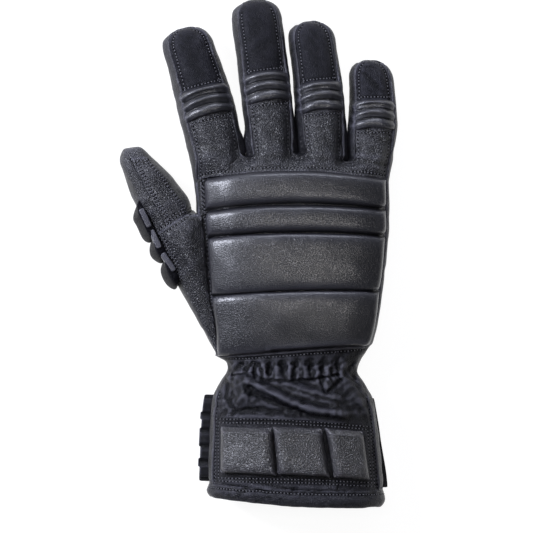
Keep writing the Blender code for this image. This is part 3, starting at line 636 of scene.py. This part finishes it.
# The thumb: a gusset of grained leather let into the hand, a separate back and palm, and three
# foam segments under leather along its outer edge.
for node, name in (("thumb_gusset", "thumb_web"), ("thumb_back", "thumb_top"), ("thumb_palm", "thumb_front")):
    panel = soft_copy(node, name, 3, 0.35, turn=0.5)
    crumple(panel, 0.011, 0.00022, 21)
    crumple(panel, 0.0042, 0.00006, 22)
    finish_piece(panel, node, SHELL_LEATHER)
SEGMENT_LEATHER = leather(
    "segment_leather", (0.0020, 0.0021, 0.0032), (0.012, 0.012, 0.016), 0.46, 0.50, 0.0009, 0.00022, index=1.18
)
# The ways along and across the thumb's edge, how much longer than its CAD solid each segment is,
# and how far its side next to the thumb lies towards the tip
SEGMENT_WAY = np.array((0.481, -0.877, 0.0))
SEGMENT_ACROSS = np.array((0.877, 0.481, 0.0))
SEGMENT_GROWTH = 0.10
SEGMENT_SLANT = 0.0052
for number in (1, 2, 3):
    segment = soft_copy(f"thumb_pad_{number}", f"thumb_segment_{number}", 3, 0.80)
    points = read(segment)
    off = points - points.mean(axis=0)
    slant = SEGMENT_SLANT * smooth_step((off @ SEGMENT_ACROSS + 0.004) / 0.008)
    points += (off @ SEGMENT_WAY * SEGMENT_GROWTH - slant)[:, None] * SEGMENT_WAY
    segment.data.vertices.foreach_set("co", points.ravel())
    segment.data.update()
    finish_piece(segment, f"thumb_pad_{number}", SEGMENT_LEATHER)


# The wrist and the gauntlet: soft grained leather, gathered on elastic at the wrist and turned in
# at the mouth under a bound hem.
CUFF_TOP = 0.017
# Folds on the back of the cuff: the points of each line, its height, and its width on either side
CUFF_FOLDS = (
    (((-6.9, -73.2), (6.5, -79.5), (17.4, -85.0), (30.0, -89.7), (49.6, -92.4)), 3.2, 2.2, 1.6),
    (((3.3, -73.2), (19.0, -81.1), (30.0, -85.0), (40.0, -87.5)), -1.8, 1.4, 1.4),
    (((14.3, -74.0), (26.1, -77.9), (37.8, -81.1), (46.0, -83.0)), 1.8, 1.7, 1.3),
    (((-4.0, -80.0), (6.5, -84.6), (16.0, -88.6), (28.0, -92.0)), -1.4, 1.1, 1.5),
    (((-10.0, -73.2), (-9.2, -82.6)), 2.2, 4.1, 4.1),
    (((-17.8, -72.4), (-18.2, -83.4), (-13.1, -90.1), (0.2, -88.9), (14.3, -90.5)), -1.8, 1.1, 1.2),
    (((34.7, -70.9), (36.6, -76.4), (38.6, -80.7), (42.5, -76.4), (47.2, -72.4)), -1.6, 1, 1),
    (((40.2, -71.5), (39.4, -76.4)), 1.4, 2.2, 2.2),
    (((-14.7, -69.7), (-2.9, -68.5), (3.3, -72.4), (18.2, -73.2), (30.0, -72.4), (45.7, -69.3)), -1.6, 0.83, 1),
    (((-21.0, -93.6), (-5.3, -93.6), (9.6, -94.2), (30.0, -95.4), (49.6, -97.3)), 1.1, 0.92, 0.74),
    (((-14.7, -91.6), (6.5, -92.0), (30.0, -93.8)), -0.84, 0.74, 0.83),
    (((-22.0, -129.9), (-9.2, -131.6), (6.5, -134.6)), 0.7, 1.0, 1.2),
    (((-20.0, -132.4), (-6.0, -134.2), (4.0, -136.0)), -0.4, 0.8, 0.8),
    (((-6.0, -130.6), (8.0, -132.4), (20.0, -134.4)), -0.4, 0.9, 0.9),
    (((10.0, -132.0), (28.0, -134.0), (44.0, -134.2)), 0.84, 0.92, 1.1),
    (((58.0, -84.0), (63.0, -92.0), (66.0, -104.0)), 1.1, 1.5, 1.7),
)
GATHER_SPAN = (-75.0, -63.5)
GATHER_PITCH = 5.6


def gathers_of(points):
    """The height of the puckers that the elastic draws into the wrist, in metres."""
    across, along = points[:, 0] * 1000.0, points[:, 1] * 1000.0
    top, foot = GATHER_SPAN[1], GATHER_SPAN[0]
    within = smooth_step((along - foot) / 3.0) * smooth_step((top - along) / 3.0)
    phase = across + 1.1 * np.sin(across * 0.31) + 0.12 * (along - foot) * np.sin(across * 0.19 + 1.0)
    wave = np.cos(phase * 2 * math.pi / GATHER_PITCH)
    sharp = np.sign(wave) * np.abs(wave) ** 0.8
    return within * sharp * (0.72 + 0.28 * np.sin(across * 0.23)) / 1000.0


def fold_cuff(piece):
    """Lays the cuff's folds and gathers into the upper side of a piece."""
    points = read(piece)
    rise = smooth_step((points[:, 2] - CUFF_TOP) / 0.010)
    points[:, 2] += rise * (folds_of(points, CUFF_FOLDS) + gathers_of(points))
    piece.data.vertices.foreach_set("co", points.ravel())
    piece.data.update()


def wrinkle(panel):
    """Sharp little wrinkles in the slack leather above the cuff's pads, and a few above its hem."""
    points = read(panel)
    along = points[:, 1] * 1000.0
    slack = smooth_step((along + 97.0) / 5.0) * smooth_step((-60.0 - along) / 4.0)
    slack += 0.45 * smooth_step((-130.0 - along) / 2.0) * smooth_step((along + 140.0) / 2.0)
    slack *= smooth_step((points[:, 2] - CUFF_TOP) / 0.010)
    ridges = 1.0 - 1.6 * np.abs(uneven(points, 0.0085, 31))
    ridges += 0.5 * (1.0 - 1.6 * np.abs(uneven(points, 0.0047, 32)))
    points += (slack * 0.00042 * ridges)[:, None] * read(panel, "normal")
    panel.data.vertices.foreach_set("co", points.ravel())
    panel.data.update()


def lay_folds(panel):
    """The cuff's folds and gathers, and the leather's own unevenness, laid into a panel."""
    fold_cuff(panel)
    wrinkle(panel)
    crumple(panel, 0.009, 0.00022, 12)
    crumple(panel, 0.0035, 0.00007, 13)


def surface_of(*pieces):
    """A search tree over the finished faces of these pieces."""
    corners, faces = [], []
    for piece in pieces:
        base = len(corners)
        corners.extend(vert.co for vert in piece.data.vertices)
        faces.extend([base + index for index in face.vertices] for face in piece.data.polygons)
    return BVHTree.FromPolygons(corners, faces)


CUFF_LEATHER = leather(
    "cuff_leather", (0.0024, 0.0025, 0.0037), (0.024, 0.024, 0.030), 0.34, 0.15, 0.0011, 0.00030
)
BLOCK_LEATHER = leather(
    "block_leather", (0.0032, 0.0032, 0.0044), (0.026, 0.025, 0.030), 0.36, 0.66, 0.0012, 0.00034, 0.20
)
CUFF_NODES = ("wrist_gather", "gauntlet_back", "gauntlet_palm")
cuff = soft_copy(CUFF_NODES, "gathered_cuff", 3, 0.35, turn=0.4)
lay_folds(cuff)
finish_piece(cuff, CUFF_NODES, CUFF_LEATHER)
hem = soft_copy("hem_binding", "bound_hem", 3, 0.35, turn=0.3)
lay_folds(hem)
finish_piece(hem, "hem_binding", CUFF_LEATHER)
# The corners of each padded block on plan, in millimetres, from its upper left one clockwise
BLOCK_CORNERS = (
    ((-22.6, -99.2), (7.6, -99.1), (9.9, -127.2), (-22.0, -127.0)),
    ((8.2, -99.2), (37.4, -99.6), (40.7, -128.2), (10.7, -127.5)),
    ((38.2, -99.9), (61.9, -101.7), (63.7, -129.7), (41.5, -128.5)),
)


def reset_block(block, corners):
    """Moves a block to these corners on plan, at the same height above the cuff as before."""
    points = read(block)
    low, high = points.min(axis=0), points.max(axis=0)
    across = ((points[:, 0] - low[0]) / (high[0] - low[0]))[:, None]
    down = ((high[1] - points[:, 1]) / (high[1] - low[1]))[:, None]
    upper_left, upper_right, lower_right, lower_left = np.array(corners) / 1000.0
    plan = (1 - down) * ((1 - across) * upper_left + across * upper_right)
    plan += down * ((1 - across) * lower_left + across * lower_right)
    for point, (x, y) in zip(points, plan):
        before, after = (cuff_height(*place) for place in (point[:2], (x, y)))
        point[:] = x, y, point[2] + after - before
    block.data.vertices.foreach_set("co", points.ravel())
    block.data.update()


cuff_skin = surface_of(cuff)


def cuff_height(x, y):
    """How high the cuff's back stands at a place on plan."""
    return cuff_skin.ray_cast(Vector((x, y, 0.2)), Vector((0.0, 0.0, -1.0)))[0].z


for number, corners in enumerate(BLOCK_CORNERS, start=1):
    block = soft_copy(f"cuff_pad_{number}", f"cuff_block_{number}", 3, 0.7)
    reset_block(block, corners)
    crumple(block, 0.012, 0.00012, 14)
    finish_piece(block, f"cuff_pad_{number}", BLOCK_LEATHER)


# The closing strap under the cuff, of stiff woven tape, and its moulded rubber end with ribs to
# pull it by.
# The teeth on the grip's end: where each starts and ends along the glove, in metres
GRIP_TEETH = ((-0.0953, -0.0911), (-0.1110, -0.1004), (-0.1226, -0.1178))
TOOTH_HEIGHT = 0.0010


def woven(name, colour, raised, thread):
    """Black polyester tape, its threads woven over and under each other at this spacing."""
    material = bpy.data.materials.new(name)
    material.use_nodes = True
    tree = material.node_tree
    shader = tree.nodes["Principled BSDF"]
    place = tree.nodes.new("ShaderNodeTexCoord").outputs["Object"]
    heights = []
    for way in ("X", "Y"):
        wave = tree.nodes.new("ShaderNodeTexWave")
        wave.bands_direction = way
        wave.inputs["Scale"].default_value = 0.314 / thread
        wave.inputs["Distortion"].default_value = 0.6
        wave.inputs["Detail"].default_value = 1.0
        tree.links.new(place, wave.inputs["Vector"])
        heights.append(wave.outputs["Fac"])
    weave = tree.nodes.new("ShaderNodeMath")
    weave.operation = "MULTIPLY"
    tree.links.new(heights[0], weave.inputs[0])
    tree.links.new(heights[1], weave.inputs[1])
    bump = tree.nodes.new("ShaderNodeBump")
    bump.inputs["Distance"].default_value = thread * 0.5
    tree.links.new(weave.outputs[0], bump.inputs["Height"])
    tree.links.new(bump.outputs["Normal"], shader.inputs["Normal"])
    mixed = tree.nodes.new("ShaderNodeMix")
    mixed.data_type = "RGBA"
    tree.links.new(weave.outputs[0], mixed.inputs["Factor"])
    mixed.inputs["A"].default_value = (*colour, 1.0)
    mixed.inputs["B"].default_value = (*raised, 1.0)
    tree.links.new(mixed.outputs["Result"], shader.inputs["Base Color"])
    shader.inputs["Roughness"].default_value = 0.75
    shader.inputs["Specular IOR Level"].default_value = 0.25
    shader.inputs["Sheen Weight"].default_value = 0.15
    return material


def shape_strap(piece):
    """Lets the strap's right end stand out further towards the hem, as it does when it is closed."""
    points = read(piece)
    out = smooth_step((points[:, 0] - 0.058) / 0.010) * smooth_step((-0.104 - points[:, 1]) / 0.026)
    points[:, 0] += 0.0014 * out
    if piece.name == "grip_end":
        end = smooth_step((points[:, 0].min() + 0.004 - points[:, 0]) / 0.003)
        for foot, top in GRIP_TEETH:
            inside = smooth_step((points[:, 1] - foot) / 0.0008 + 0.5)
            inside *= smooth_step((top - points[:, 1]) / 0.0008 + 0.5)
            points[:, 0] -= TOOTH_HEIGHT * inside * end
    piece.data.vertices.foreach_set("co", points.ravel())
    piece.data.update()


TAPE = woven("strap_tape", (0.003, 0.003, 0.005), (0.014, 0.014, 0.018), 0.0009)
RUBBER = leather("grip_rubber", (0.0045, 0.0047, 0.0062), (0.018, 0.018, 0.024), 0.50, 0.34, 0.0006, 0.00010)
strap = soft_copy("closure_strap", "strap_tape", 3, 0.9)
shape_strap(strap)
finish_piece(strap, "closure_strap", TAPE)
grip = soft_copy("strap_grip", "grip_end", 3, 0.7)
shape_strap(grip)
finish_piece(grip, "strap_grip", RUBBER)


# The seams: rolled edges where the leather is turned in, and rows of waxed black thread that are
# sewn beside them, each stitch with a dark disc of painted shade for its needle hole. Every seam is found where two
# of the CAD panels meet.
SEAM_REACH = 0.0034
STITCH_PITCH = 0.0020
STITCH_LENGTH = 0.0012
STITCH_WIDTH = 0.00076
# The needle holes are dark discs, painted shade where the thread goes down
HOLE_WIDTH = 0.00105
HOLE_RISE = 0.00012
GROOVE_WIDTH = 0.0009
GROOVE_DEPTH = 0.00035
ROLL_STEP = 0.0011
ROLL_LIFT = 0.30
# How strongly crests are painted paler, as wear and painted highlight, and hollows darker, as painted shade
WEAR_LIGHT_RADIUS = 0.0045
WEAR_LIGHT_STRENGTH = 0.65
SEGMENT_WEAR_LIGHT = 0.12
# The double row of stitches in a frame round the cuff's padded blocks, on plan in millimetres
BOX_ROWS = (
    ((-25.2, -94.9), (9.6, -95.2), (40.0, -97.2), (64.4, -99.4), (66.8, -133.6), (30.0, -131.4), (-24.8, -130.4), (-25.2, -94.9)),
    ((-23.5, -97.0), (9.6, -97.2), (40.0, -98.8), (62.7, -100.9), (64.9, -131.4), (30.0, -129.6), (-23.2, -128.6), (-23.5, -97.0)),
)
# The rows of stitches beside the thumb's padded segments, on plan in millimetres
THUMB_ROWS_LOW = (
    ((-59.6, 14.6), (-56.4, 8.4), (-52.2, 0.6), (-46.8, -8.8), (-46.4, -15.6)),
    ((-58.2, 15.6), (-54.6, 9.0), (-50.4, 1.4), (-45.0, -8.2), (-44.6, -16.4)),
)


def skin_rims(node):
    """The edges of a leather panel's outer side, each as a closed run of points."""
    mesh = joined(node)
    rim = outer_skin(mesh)[1]
    runs = []
    while rim:
        edge = rim.pop()
        run = [edge.verts[0], edge.verts[1]]
        while True:
            following = next((e for e in run[-1].link_edges if e in rim), None)
            if following is None:
                break
            rim.discard(following)
            run.append(following.other_vert(run[-1]))
        runs.append([vert.co.copy() for vert in run])
    mesh.free()
    return runs


def tree_of(nodes):
    """A search tree over the faces of these CAD nodes."""
    corners, faces = [], []
    for name in nodes:
        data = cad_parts[name].data
        base = len(corners)
        corners.extend(vert.co for vert in data.vertices)
        faces.extend([base + index for index in face.vertices] for face in data.polygons)
    return BVHTree.FromPolygons(corners, faces)


def seam(node, *others):
    """Where a panel's edge lies along its neighbours: the points there, and the way in from the edge."""
    neighbours = tree_of(others)
    found = []
    for run in skin_rims(node):
        closed = (run[0] - run[-1]).length < 1e-6
        ring = run[:-1] if closed else run
        near = [neighbours.find_nearest(point) for point in ring]
        close = [hit[3] is not None and hit[3] < SEAM_REACH for hit in near]
        if closed and not all(close):
            start = close.index(False)
            order = [(start + step) % len(ring) for step in range(len(ring))]
        elif closed:
            order = [*range(len(ring)), 0]
        else:
            order = list(range(len(ring)))
        part = []
        for index in [*order, None]:
            if index is not None and close[index]:
                part.append((ring[index], (ring[index] - near[index][0]).normalized()))
            elif part:
                if len(part) > 1:
                    found.append(part)
                part = []
    return found


def walk(part, step):
    """Even steps along a seam: each place, the way in from the edge, and the way along."""
    places = [place for place, _ in part]
    lengths = [0.0]
    for before, after in zip(places[:-1], places[1:]):
        lengths.append(lengths[-1] + (after - before).length)
    count = max(int(lengths[-1] / step), 1)
    made_steps = []
    for number in range(count + 1):
        goal = lengths[-1] * number / count
        index = min(max(int(np.searchsorted(lengths, goal)) - 1, 0), len(places) - 2)
        share = (goal - lengths[index]) / max(lengths[index + 1] - lengths[index], 1e-9)
        before, start = places[max(index - 1, 0)], places[index]
        end, after = places[index + 1], places[min(index + 2, len(places) - 1)]
        square, cube = share**2, share**3
        place = 0.5 * (
            2 * start
            + (end - before) * share
            + (2 * before - 5 * start + 4 * end - after) * square
            + (3 * start - before - 3 * end + after) * cube
        )
        inward = part[index][1].lerp(part[index + 1][1], share)
        made_steps.append((place, inward, (end - start).normalized()))
    return made_steps


def on_surface(tree, place, along, inward, inset):
    """The place on the surface at this distance in from an edge, and the surface's way out there."""
    first, normal, _, _ = tree.find_nearest(place)
    across = normal.cross(along).normalized()
    if across.dot(inward) < 0:
        across = -across
    spot, normal, _, _ = tree.find_nearest(first + across * inset)
    return spot, normal


def sew(threads, hole_shades, spot, normal, along):
    """One stitch of thread at a spot, lying along the row, and a dark disc of painted shade for the needle hole
    that it goes down.
    """
    along = (along - normal * along.dot(normal)).normalized()
    turn = Matrix((along, normal.cross(along), normal)).transposed().to_4x4()
    size = Matrix.Diagonal((STITCH_LENGTH / 2, STITCH_WIDTH / 2, STITCH_WIDTH / 2, 1.0))
    matrix = Matrix.Translation(spot - normal * STITCH_WIDTH * 0.10) @ turn @ size
    bmesh.ops.create_icosphere(threads, subdivisions=1, radius=1.0, matrix=matrix)
    size = Matrix.Diagonal((HOLE_WIDTH / 2, HOLE_WIDTH / 2, HOLE_RISE, 1.0))
    matrix = Matrix.Translation(spot + along * STITCH_PITCH / 2) @ turn @ size
    bmesh.ops.create_icosphere(hole_shades, subdivisions=1, radius=1.0, matrix=matrix)


def new_piece(mesh, name, material):
    """Turns a bmesh into a finished piece of the glove."""
    bmesh.ops.recalc_face_normals(mesh, faces=mesh.faces[:])
    data = bpy.data.meshes.new(name)
    mesh.to_mesh(data)
    mesh.free()
    data.shade_smooth()
    data.materials.append(material)
    piece = bpy.data.objects.new(name, data)
    bpy.context.scene.collection.objects.link(piece)
    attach(piece, "root")
    return piece


def press(piece, rows):
    """Draws the leather in along rows of stitches, given as lists of places and ways along."""
    places = [place for row in rows for place, _, _ in row]
    tree = KDTree(len(places))
    for index, place in enumerate(places):
        tree.insert(place, index)
    tree.balance()
    points, normals = read(piece), read(piece, "normal")
    for point, normal in zip(points, normals):
        _, index, gap = tree.find(point)
        if gap < 3 * GROOVE_WIDTH:
            point -= normal * GROOVE_DEPTH * math.exp(-((gap / GROOVE_WIDTH) ** 2))
    piece.data.vertices.foreach_set("co", points.ravel())
    piece.data.update()


def seam_rows(node, others, insets):
    """Rows on a finished panel, beside the seams between it and its neighbours, this far in."""
    surface = surface_of(made[node])
    rows = []
    for part in seam(node, *others):
        for inset in insets:
            row = []
            for place, inward, along in walk(part, STITCH_PITCH / 2):
                spot, normal = on_surface(surface, place, along, inward, inset)
                row.append((spot, normal, along))
            rows.append(row)
    return rows


def drawn_rows(piece, lines):
    """Rows on the upper side of a finished piece along lines on plan, given in millimetres."""
    surface = surface_of(piece)
    rows = []
    for line in lines:
        corners = [Vector((x / 1000.0, y / 1000.0, 0.2)) for x, y in line]
        row = []
        for start, end in zip(corners[:-1], corners[1:]):
            steps = max(round((end - start).length / (STITCH_PITCH / 2)), 1)
            for step in range(steps):
                spot, normal, _, _ = surface.ray_cast(start.lerp(end, step / steps), Vector((0.0, 0.0, -1.0)))
                if spot is not None:
                    row.append((spot, normal, (end - start).normalized()))
        rows.append(row)
    return rows


def sew_rows(name, sewn):
    """Presses and sews rows into their pieces: every other place of a row is a stitch."""
    threads, hole_shades = bmesh.new(), bmesh.new()
    for piece, rows in sewn:
        press(piece, rows)
        surface = surface_of(piece)
        for row in rows:
            for place, _, along in row[1:-1:2]:
                spot, normal, _, _ = surface.find_nearest(place)
                sew(threads, hole_shades, spot, normal, along)
    new_piece(threads, name, THREAD)
    # The dark discs at the needle holes are painted shade
    new_piece(hole_shades, f"{name}_holes", HOLE_SHADE)


def rolled_edges(name, rows):
    """Soft rolls of turned leather beside seams: each a panel, its neighbours, how far in, how thick."""
    curve = bpy.data.curves.new(name, "CURVE")
    curve.dimensions = "3D"
    curve.bevel_depth = 1.0
    curve.bevel_resolution = 3
    curve.use_fill_caps = True
    for node, others, inset, radius in rows:
        surface = surface_of(made[node])
        for part in seam(node, *others):
            steps = walk(part, ROLL_STEP)
            if len(steps) < 5:
                continue
            spline = curve.splines.new("POLY")
            spline.points.add(len(steps) - 1)
            for index, (place, inward, along) in enumerate(steps):
                spot, normal = on_surface(surface, place, along, inward, inset)
                ends = min(index, len(steps) - 1 - index)
                thick = radius * min(1.0, 0.3 + 0.2 * ends) * (1.0 - 0.62 * towards_tip(place))
                thick *= 1.0 + 0.10 * math.sin(0.9 * index) + 0.07 * math.sin(2.3 * index + 1.0)
                spline.points[index].co = (*(spot + normal * thick * ROLL_LIFT), 1.0)
                spline.points[index].radius = thick
    rope = bpy.data.objects.new(name, curve)
    bpy.context.scene.collection.objects.link(rope)
    bpy.context.view_layer.update()
    data = bpy.data.meshes.new_from_object(rope.evaluated_get(bpy.context.evaluated_depsgraph_get()))
    bpy.data.objects.remove(rope)
    mesh = bmesh.new()
    mesh.from_mesh(data)
    bpy.data.meshes.remove(data)
    roll = new_piece(mesh, name, PALM_LEATHER)
    made[name] = roll


def towards_tip(place):
    """How far a place is past a finger's ribs towards its tip, from 0 to 1."""
    share = 0.0
    for centre, way, across, half_width in RIB_ARCHES:
        off = np.array(place) - centre
        if abs(off @ across) < 1.5 * half_width:
            share = max(share, min(max((off @ way - 0.012) / 0.014, 0.0), 1.0))
    return share


def mark_wear_and_painted_light(piece, strength=WEAR_LIGHT_STRENGTH):
    """Marks raised edges and folds paler, as wear and painted highlight, and hollows darker, as painted shade."""
    count = len(piece.data.vertices)
    pairs = np.empty(len(piece.data.edges) * 2, dtype=np.int32)
    piece.data.edges.foreach_get("vertices", pairs)
    first, second = pairs[::2], pairs[1::2]
    degree = np.maximum(np.bincount(pairs, minlength=count), 1)
    points, normals = read(piece), read(piece, "normal")

    def spread(values):
        total = np.bincount(first, values[second], count) + np.bincount(second, values[first], count)
        return total / degree

    length = np.linalg.norm(points[first] - points[second], axis=1)
    reach = (np.bincount(first, length, count) + np.bincount(second, length, count)) / degree
    bend = sum((points[:, axis] - spread(points[:, axis])) * normals[:, axis] for axis in range(3))
    bend /= np.maximum(reach, 1e-5) ** 2
    for _ in range(3):
        bend = 0.4 * bend + 0.6 * spread(bend)
    # Positive on crests, part wear and part painted highlight; negative in hollows, painted shade
    worn_and_lit = piece.data.attributes.new("wear_and_painted_light", "FLOAT", "POINT")
    worn_and_lit.data.foreach_set("value", np.clip(bend * WEAR_LIGHT_RADIUS, -0.4, 1.0) * strength)


THREAD = bpy.data.materials.new("waxed_thread")
THREAD.use_nodes = True
thread_shader = THREAD.node_tree.nodes["Principled BSDF"]
thread_shader.inputs["Base Color"].default_value = (0.085, 0.085, 0.100, 1.0)
thread_shader.inputs["Roughness"].default_value = 0.5
# Painted shade: the dark colour of the needle-hole discs
HOLE_SHADE = bpy.data.materials.new("needle_hole_shade")
HOLE_SHADE.use_nodes = True
hole_shade_shader = HOLE_SHADE.node_tree.nodes["Principled BSDF"]
hole_shade_shader.inputs["Base Color"].default_value = (0.0015, 0.0015, 0.0020, 1.0)
hole_shade_shader.inputs["Roughness"].default_value = 0.95
hole_shade_shader.inputs["Specular IOR Level"].default_value = 0.05

# The strip of leather beside the pad's left edge: how far its edges reach under their neighbours
STRIP_UNDER = 0.0016
STRIP_COLUMNS = (-1.0, -0.4, 0.0, 0.25, 0.5, 0.75, 1.0, 1.5, 2.0)
STRIP_STEP = 0.0012


def edge_strip():
    """The leather between the pad's left edge and the thumb's gusset, with its row of stitches."""
    mesh = bmesh.new()
    row = []
    for part in seam("back_pad", "palm_panel", "thumb_gusset"):
        steps = [step for step in walk(part, STRIP_STEP) if step[0].x < 0]
        if len(steps) < 3:
            continue
        before = None
        for place, inward, along in steps:
            width = float(np.interp(place.y, *PAD_EDGE))
            way = Vector((inward.x, inward.y, 0.0)).normalized()
            points = []
            for column in STRIP_COLUMNS:
                out = column * width if 0.0 <= column <= 1.0 else None
                if out is None:
                    out = column * STRIP_UNDER if column < 0 else width + (column - 1.0) * STRIP_UNDER
                crown = 0.0004 * (1.0 - min(abs(column - 0.5) / 1.5, 1.0) ** 2)
                rise = 0.30 * out if out > 0 else 0.8 * out
                spot = place + way * out + Vector((0.0, 0.0, rise + crown - 0.0002))
                points.append(mesh.verts.new(spot))
            if before:
                for index in range(len(points) - 1):
                    mesh.faces.new((before[index], before[index + 1], points[index + 1], points[index]))
            before = points
            row.append(((place + way * width * 0.45).x * 1000.0, (place + way * width * 0.45).y * 1000.0))
    piece = new_piece(mesh, "edge_strip", SHELL_LEATHER)
    made["edge_strip"] = piece
    row.sort(key=lambda spot: spot[1])
    return piece, row


ribs = [f"{finger}_knuckle_ribs" for finger in FINGERS]
tips = [f"{finger}_tip_back" for finger in FINGERS]
pad_strip, strip_line = edge_strip()
sides = ["palm_panel", "fork_strip_1", "fork_strip_2", "fork_strip_3"]
sew_rows(
    "hand_stitches",
    [
        (
            made["knuckle_panel"],
            [
                *seam_rows("knuckle_panel", ["back_pad"], [0.0016]),
                *seam_rows("knuckle_panel", ribs, [0.0016]),
                *seam_rows("knuckle_panel", sides, [0.0015]),
            ],
        ),
        *((made[tip], seam_rows(tip, ribs, [0.0016]) + seam_rows(tip, sides, [0.0015])) for tip in tips),
        (made["palm_panel"], seam_rows("palm_panel", ["back_pad"], [0.0026])),
        (pad_strip, drawn_rows(pad_strip, [[spot for spot in strip_line if spot[1] > -40.0]])),
    ],
)
sew_rows(
    "thumb_stitches",
    [
        (made["thumb_back"], seam_rows("thumb_back", ["thumb_gusset", "thumb_palm"], [0.0014, 0.0033])),
        (
            made["thumb_gusset"],
            seam_rows("thumb_gusset", ["thumb_back"], [0.0014])
            + seam_rows("thumb_gusset", ["back_pad"], [0.0030])
            + drawn_rows(made["thumb_gusset"], THUMB_ROWS_LOW),
        ),
        (made["thumb_palm"], seam_rows("thumb_palm", ["thumb_gusset"], [0.0014])),
    ],
)
sew_rows(
    "cuff_stitches",
    [
        (
            cuff,
            [
                *seam_rows("wrist_gather", ["back_pad", "palm_panel", "thumb_gusset"], [0.0020]),
                *seam_rows("gauntlet_back", ["gauntlet_palm"], [0.0016]),
                *seam_rows("gauntlet_palm", ["hem_binding"], [0.0014]),
                *drawn_rows(cuff, BOX_ROWS),
            ],
        ),
        (hem, seam_rows("hem_binding", ["gauntlet_back", "gauntlet_palm"], [0.0016])),
    ],
)
rolled_edges(
    "finger_rolls",
    [
        *((side, [*ribs, *tips, "knuckle_panel"], 0.0009, 0.00085) for side in sides),
        ("palm_panel", ["back_pad"], 0.0008, 0.0011),
        ("thumb_gusset", ["back_pad"], 0.0006, 0.0007),
        ("wrist_gather", ["back_pad"], 0.0002, 0.0009),
        ("gauntlet_back", ["gauntlet_palm"], 0.0004, 0.0009),
    ],
)
# The flat facet on each segment's inner side: its ends on plan in millimetres
FACETS = (
    ((-67.8, 25.7), (-62.9, 15.1)),
    ((-61.9, 13.4), (-57.0, 2.9)),
    ((-55.4, 0.0), (-48.6, -10.0)),
)
FACET_WIDTH = 0.0034
FACET_DEPTH = 0.0026
FACET_TILT = 0.45
FACET_SINK = 0.0004


def facet(number, start, end):
    """A pale bar of leather along the inner side of a thumb segment, a little raised."""
    beside = surface_of(made[f"thumb_pad_{number}"])
    first, last = (Vector((x / 1000.0, y / 1000.0, 0.2)) for x, y in (start, end))
    shares = (0.1, 0.3, 0.5, 0.7, 0.9)
    hits = [beside.ray_cast(first.lerp(last, share), Vector((0.0, 0.0, -1.0))) for share in shares]
    hits = [hit for hit in hits if hit[0] is not None and hit[0].z > 0.021]
    along = (hits[-1][0] - hits[0][0]).normalized()
    lean = sum((hit[1] for hit in hits), Vector()).normalized()
    up = lean.lerp(Vector((0.0, 0.0, 1.0)), 1.0 - FACET_TILT)
    up = (up - along * up.dot(along)).normalized()
    turn = Matrix((along, up.cross(along), up)).transposed().to_4x4()
    size = Matrix.Diagonal(((last - first).length, FACET_WIDTH, FACET_DEPTH, 1.0))
    middle = (first + last) / 2
    middle.z = sum(hit[0].z for hit in hits) / len(hits) - FACET_SINK
    mesh = bmesh.new()
    bmesh.ops.create_cube(mesh, size=1.0, matrix=Matrix.Translation(middle) @ turn @ size)
    upright = [edge for edge in mesh.edges if abs((edge.verts[0].co - edge.verts[1].co).normalized().dot(up)) > 0.9]
    bmesh.ops.bevel(mesh, geom=upright, offset=0.0012, segments=4, profile=0.5, affect="EDGES")
    rim = [edge for edge in mesh.edges if edge.calc_face_angle() > 1.0]
    bmesh.ops.bevel(mesh, geom=rim, offset=0.0006, segments=3, profile=0.5, affect="EDGES")
    return new_piece(mesh, f"thumb_facet_{number}", PAD_LEATHER)


for number, (start, end) in enumerate(FACETS, start=1):
    made[f"thumb_facet_{number}"] = facet(number, start, end)


def lie_flat(piece):
    """Presses a piece flat where it rests on the surface below."""
    points = read(piece)
    points[:, 2] = np.maximum(points[:, 2], 0.0)
    piece.data.vertices.foreach_set("co", points.ravel())
    piece.data.update()


# Each piece is pressed flat on the table and gets its wear and painted light: highlight on crests, shade in hollows
for piece in set(made.values()):
    lie_flat(piece)
    mark_wear_and_painted_light(piece, SEGMENT_WEAR_LIGHT if piece.name.startswith("thumb_segment") else WEAR_LIGHT_STRENGTH)
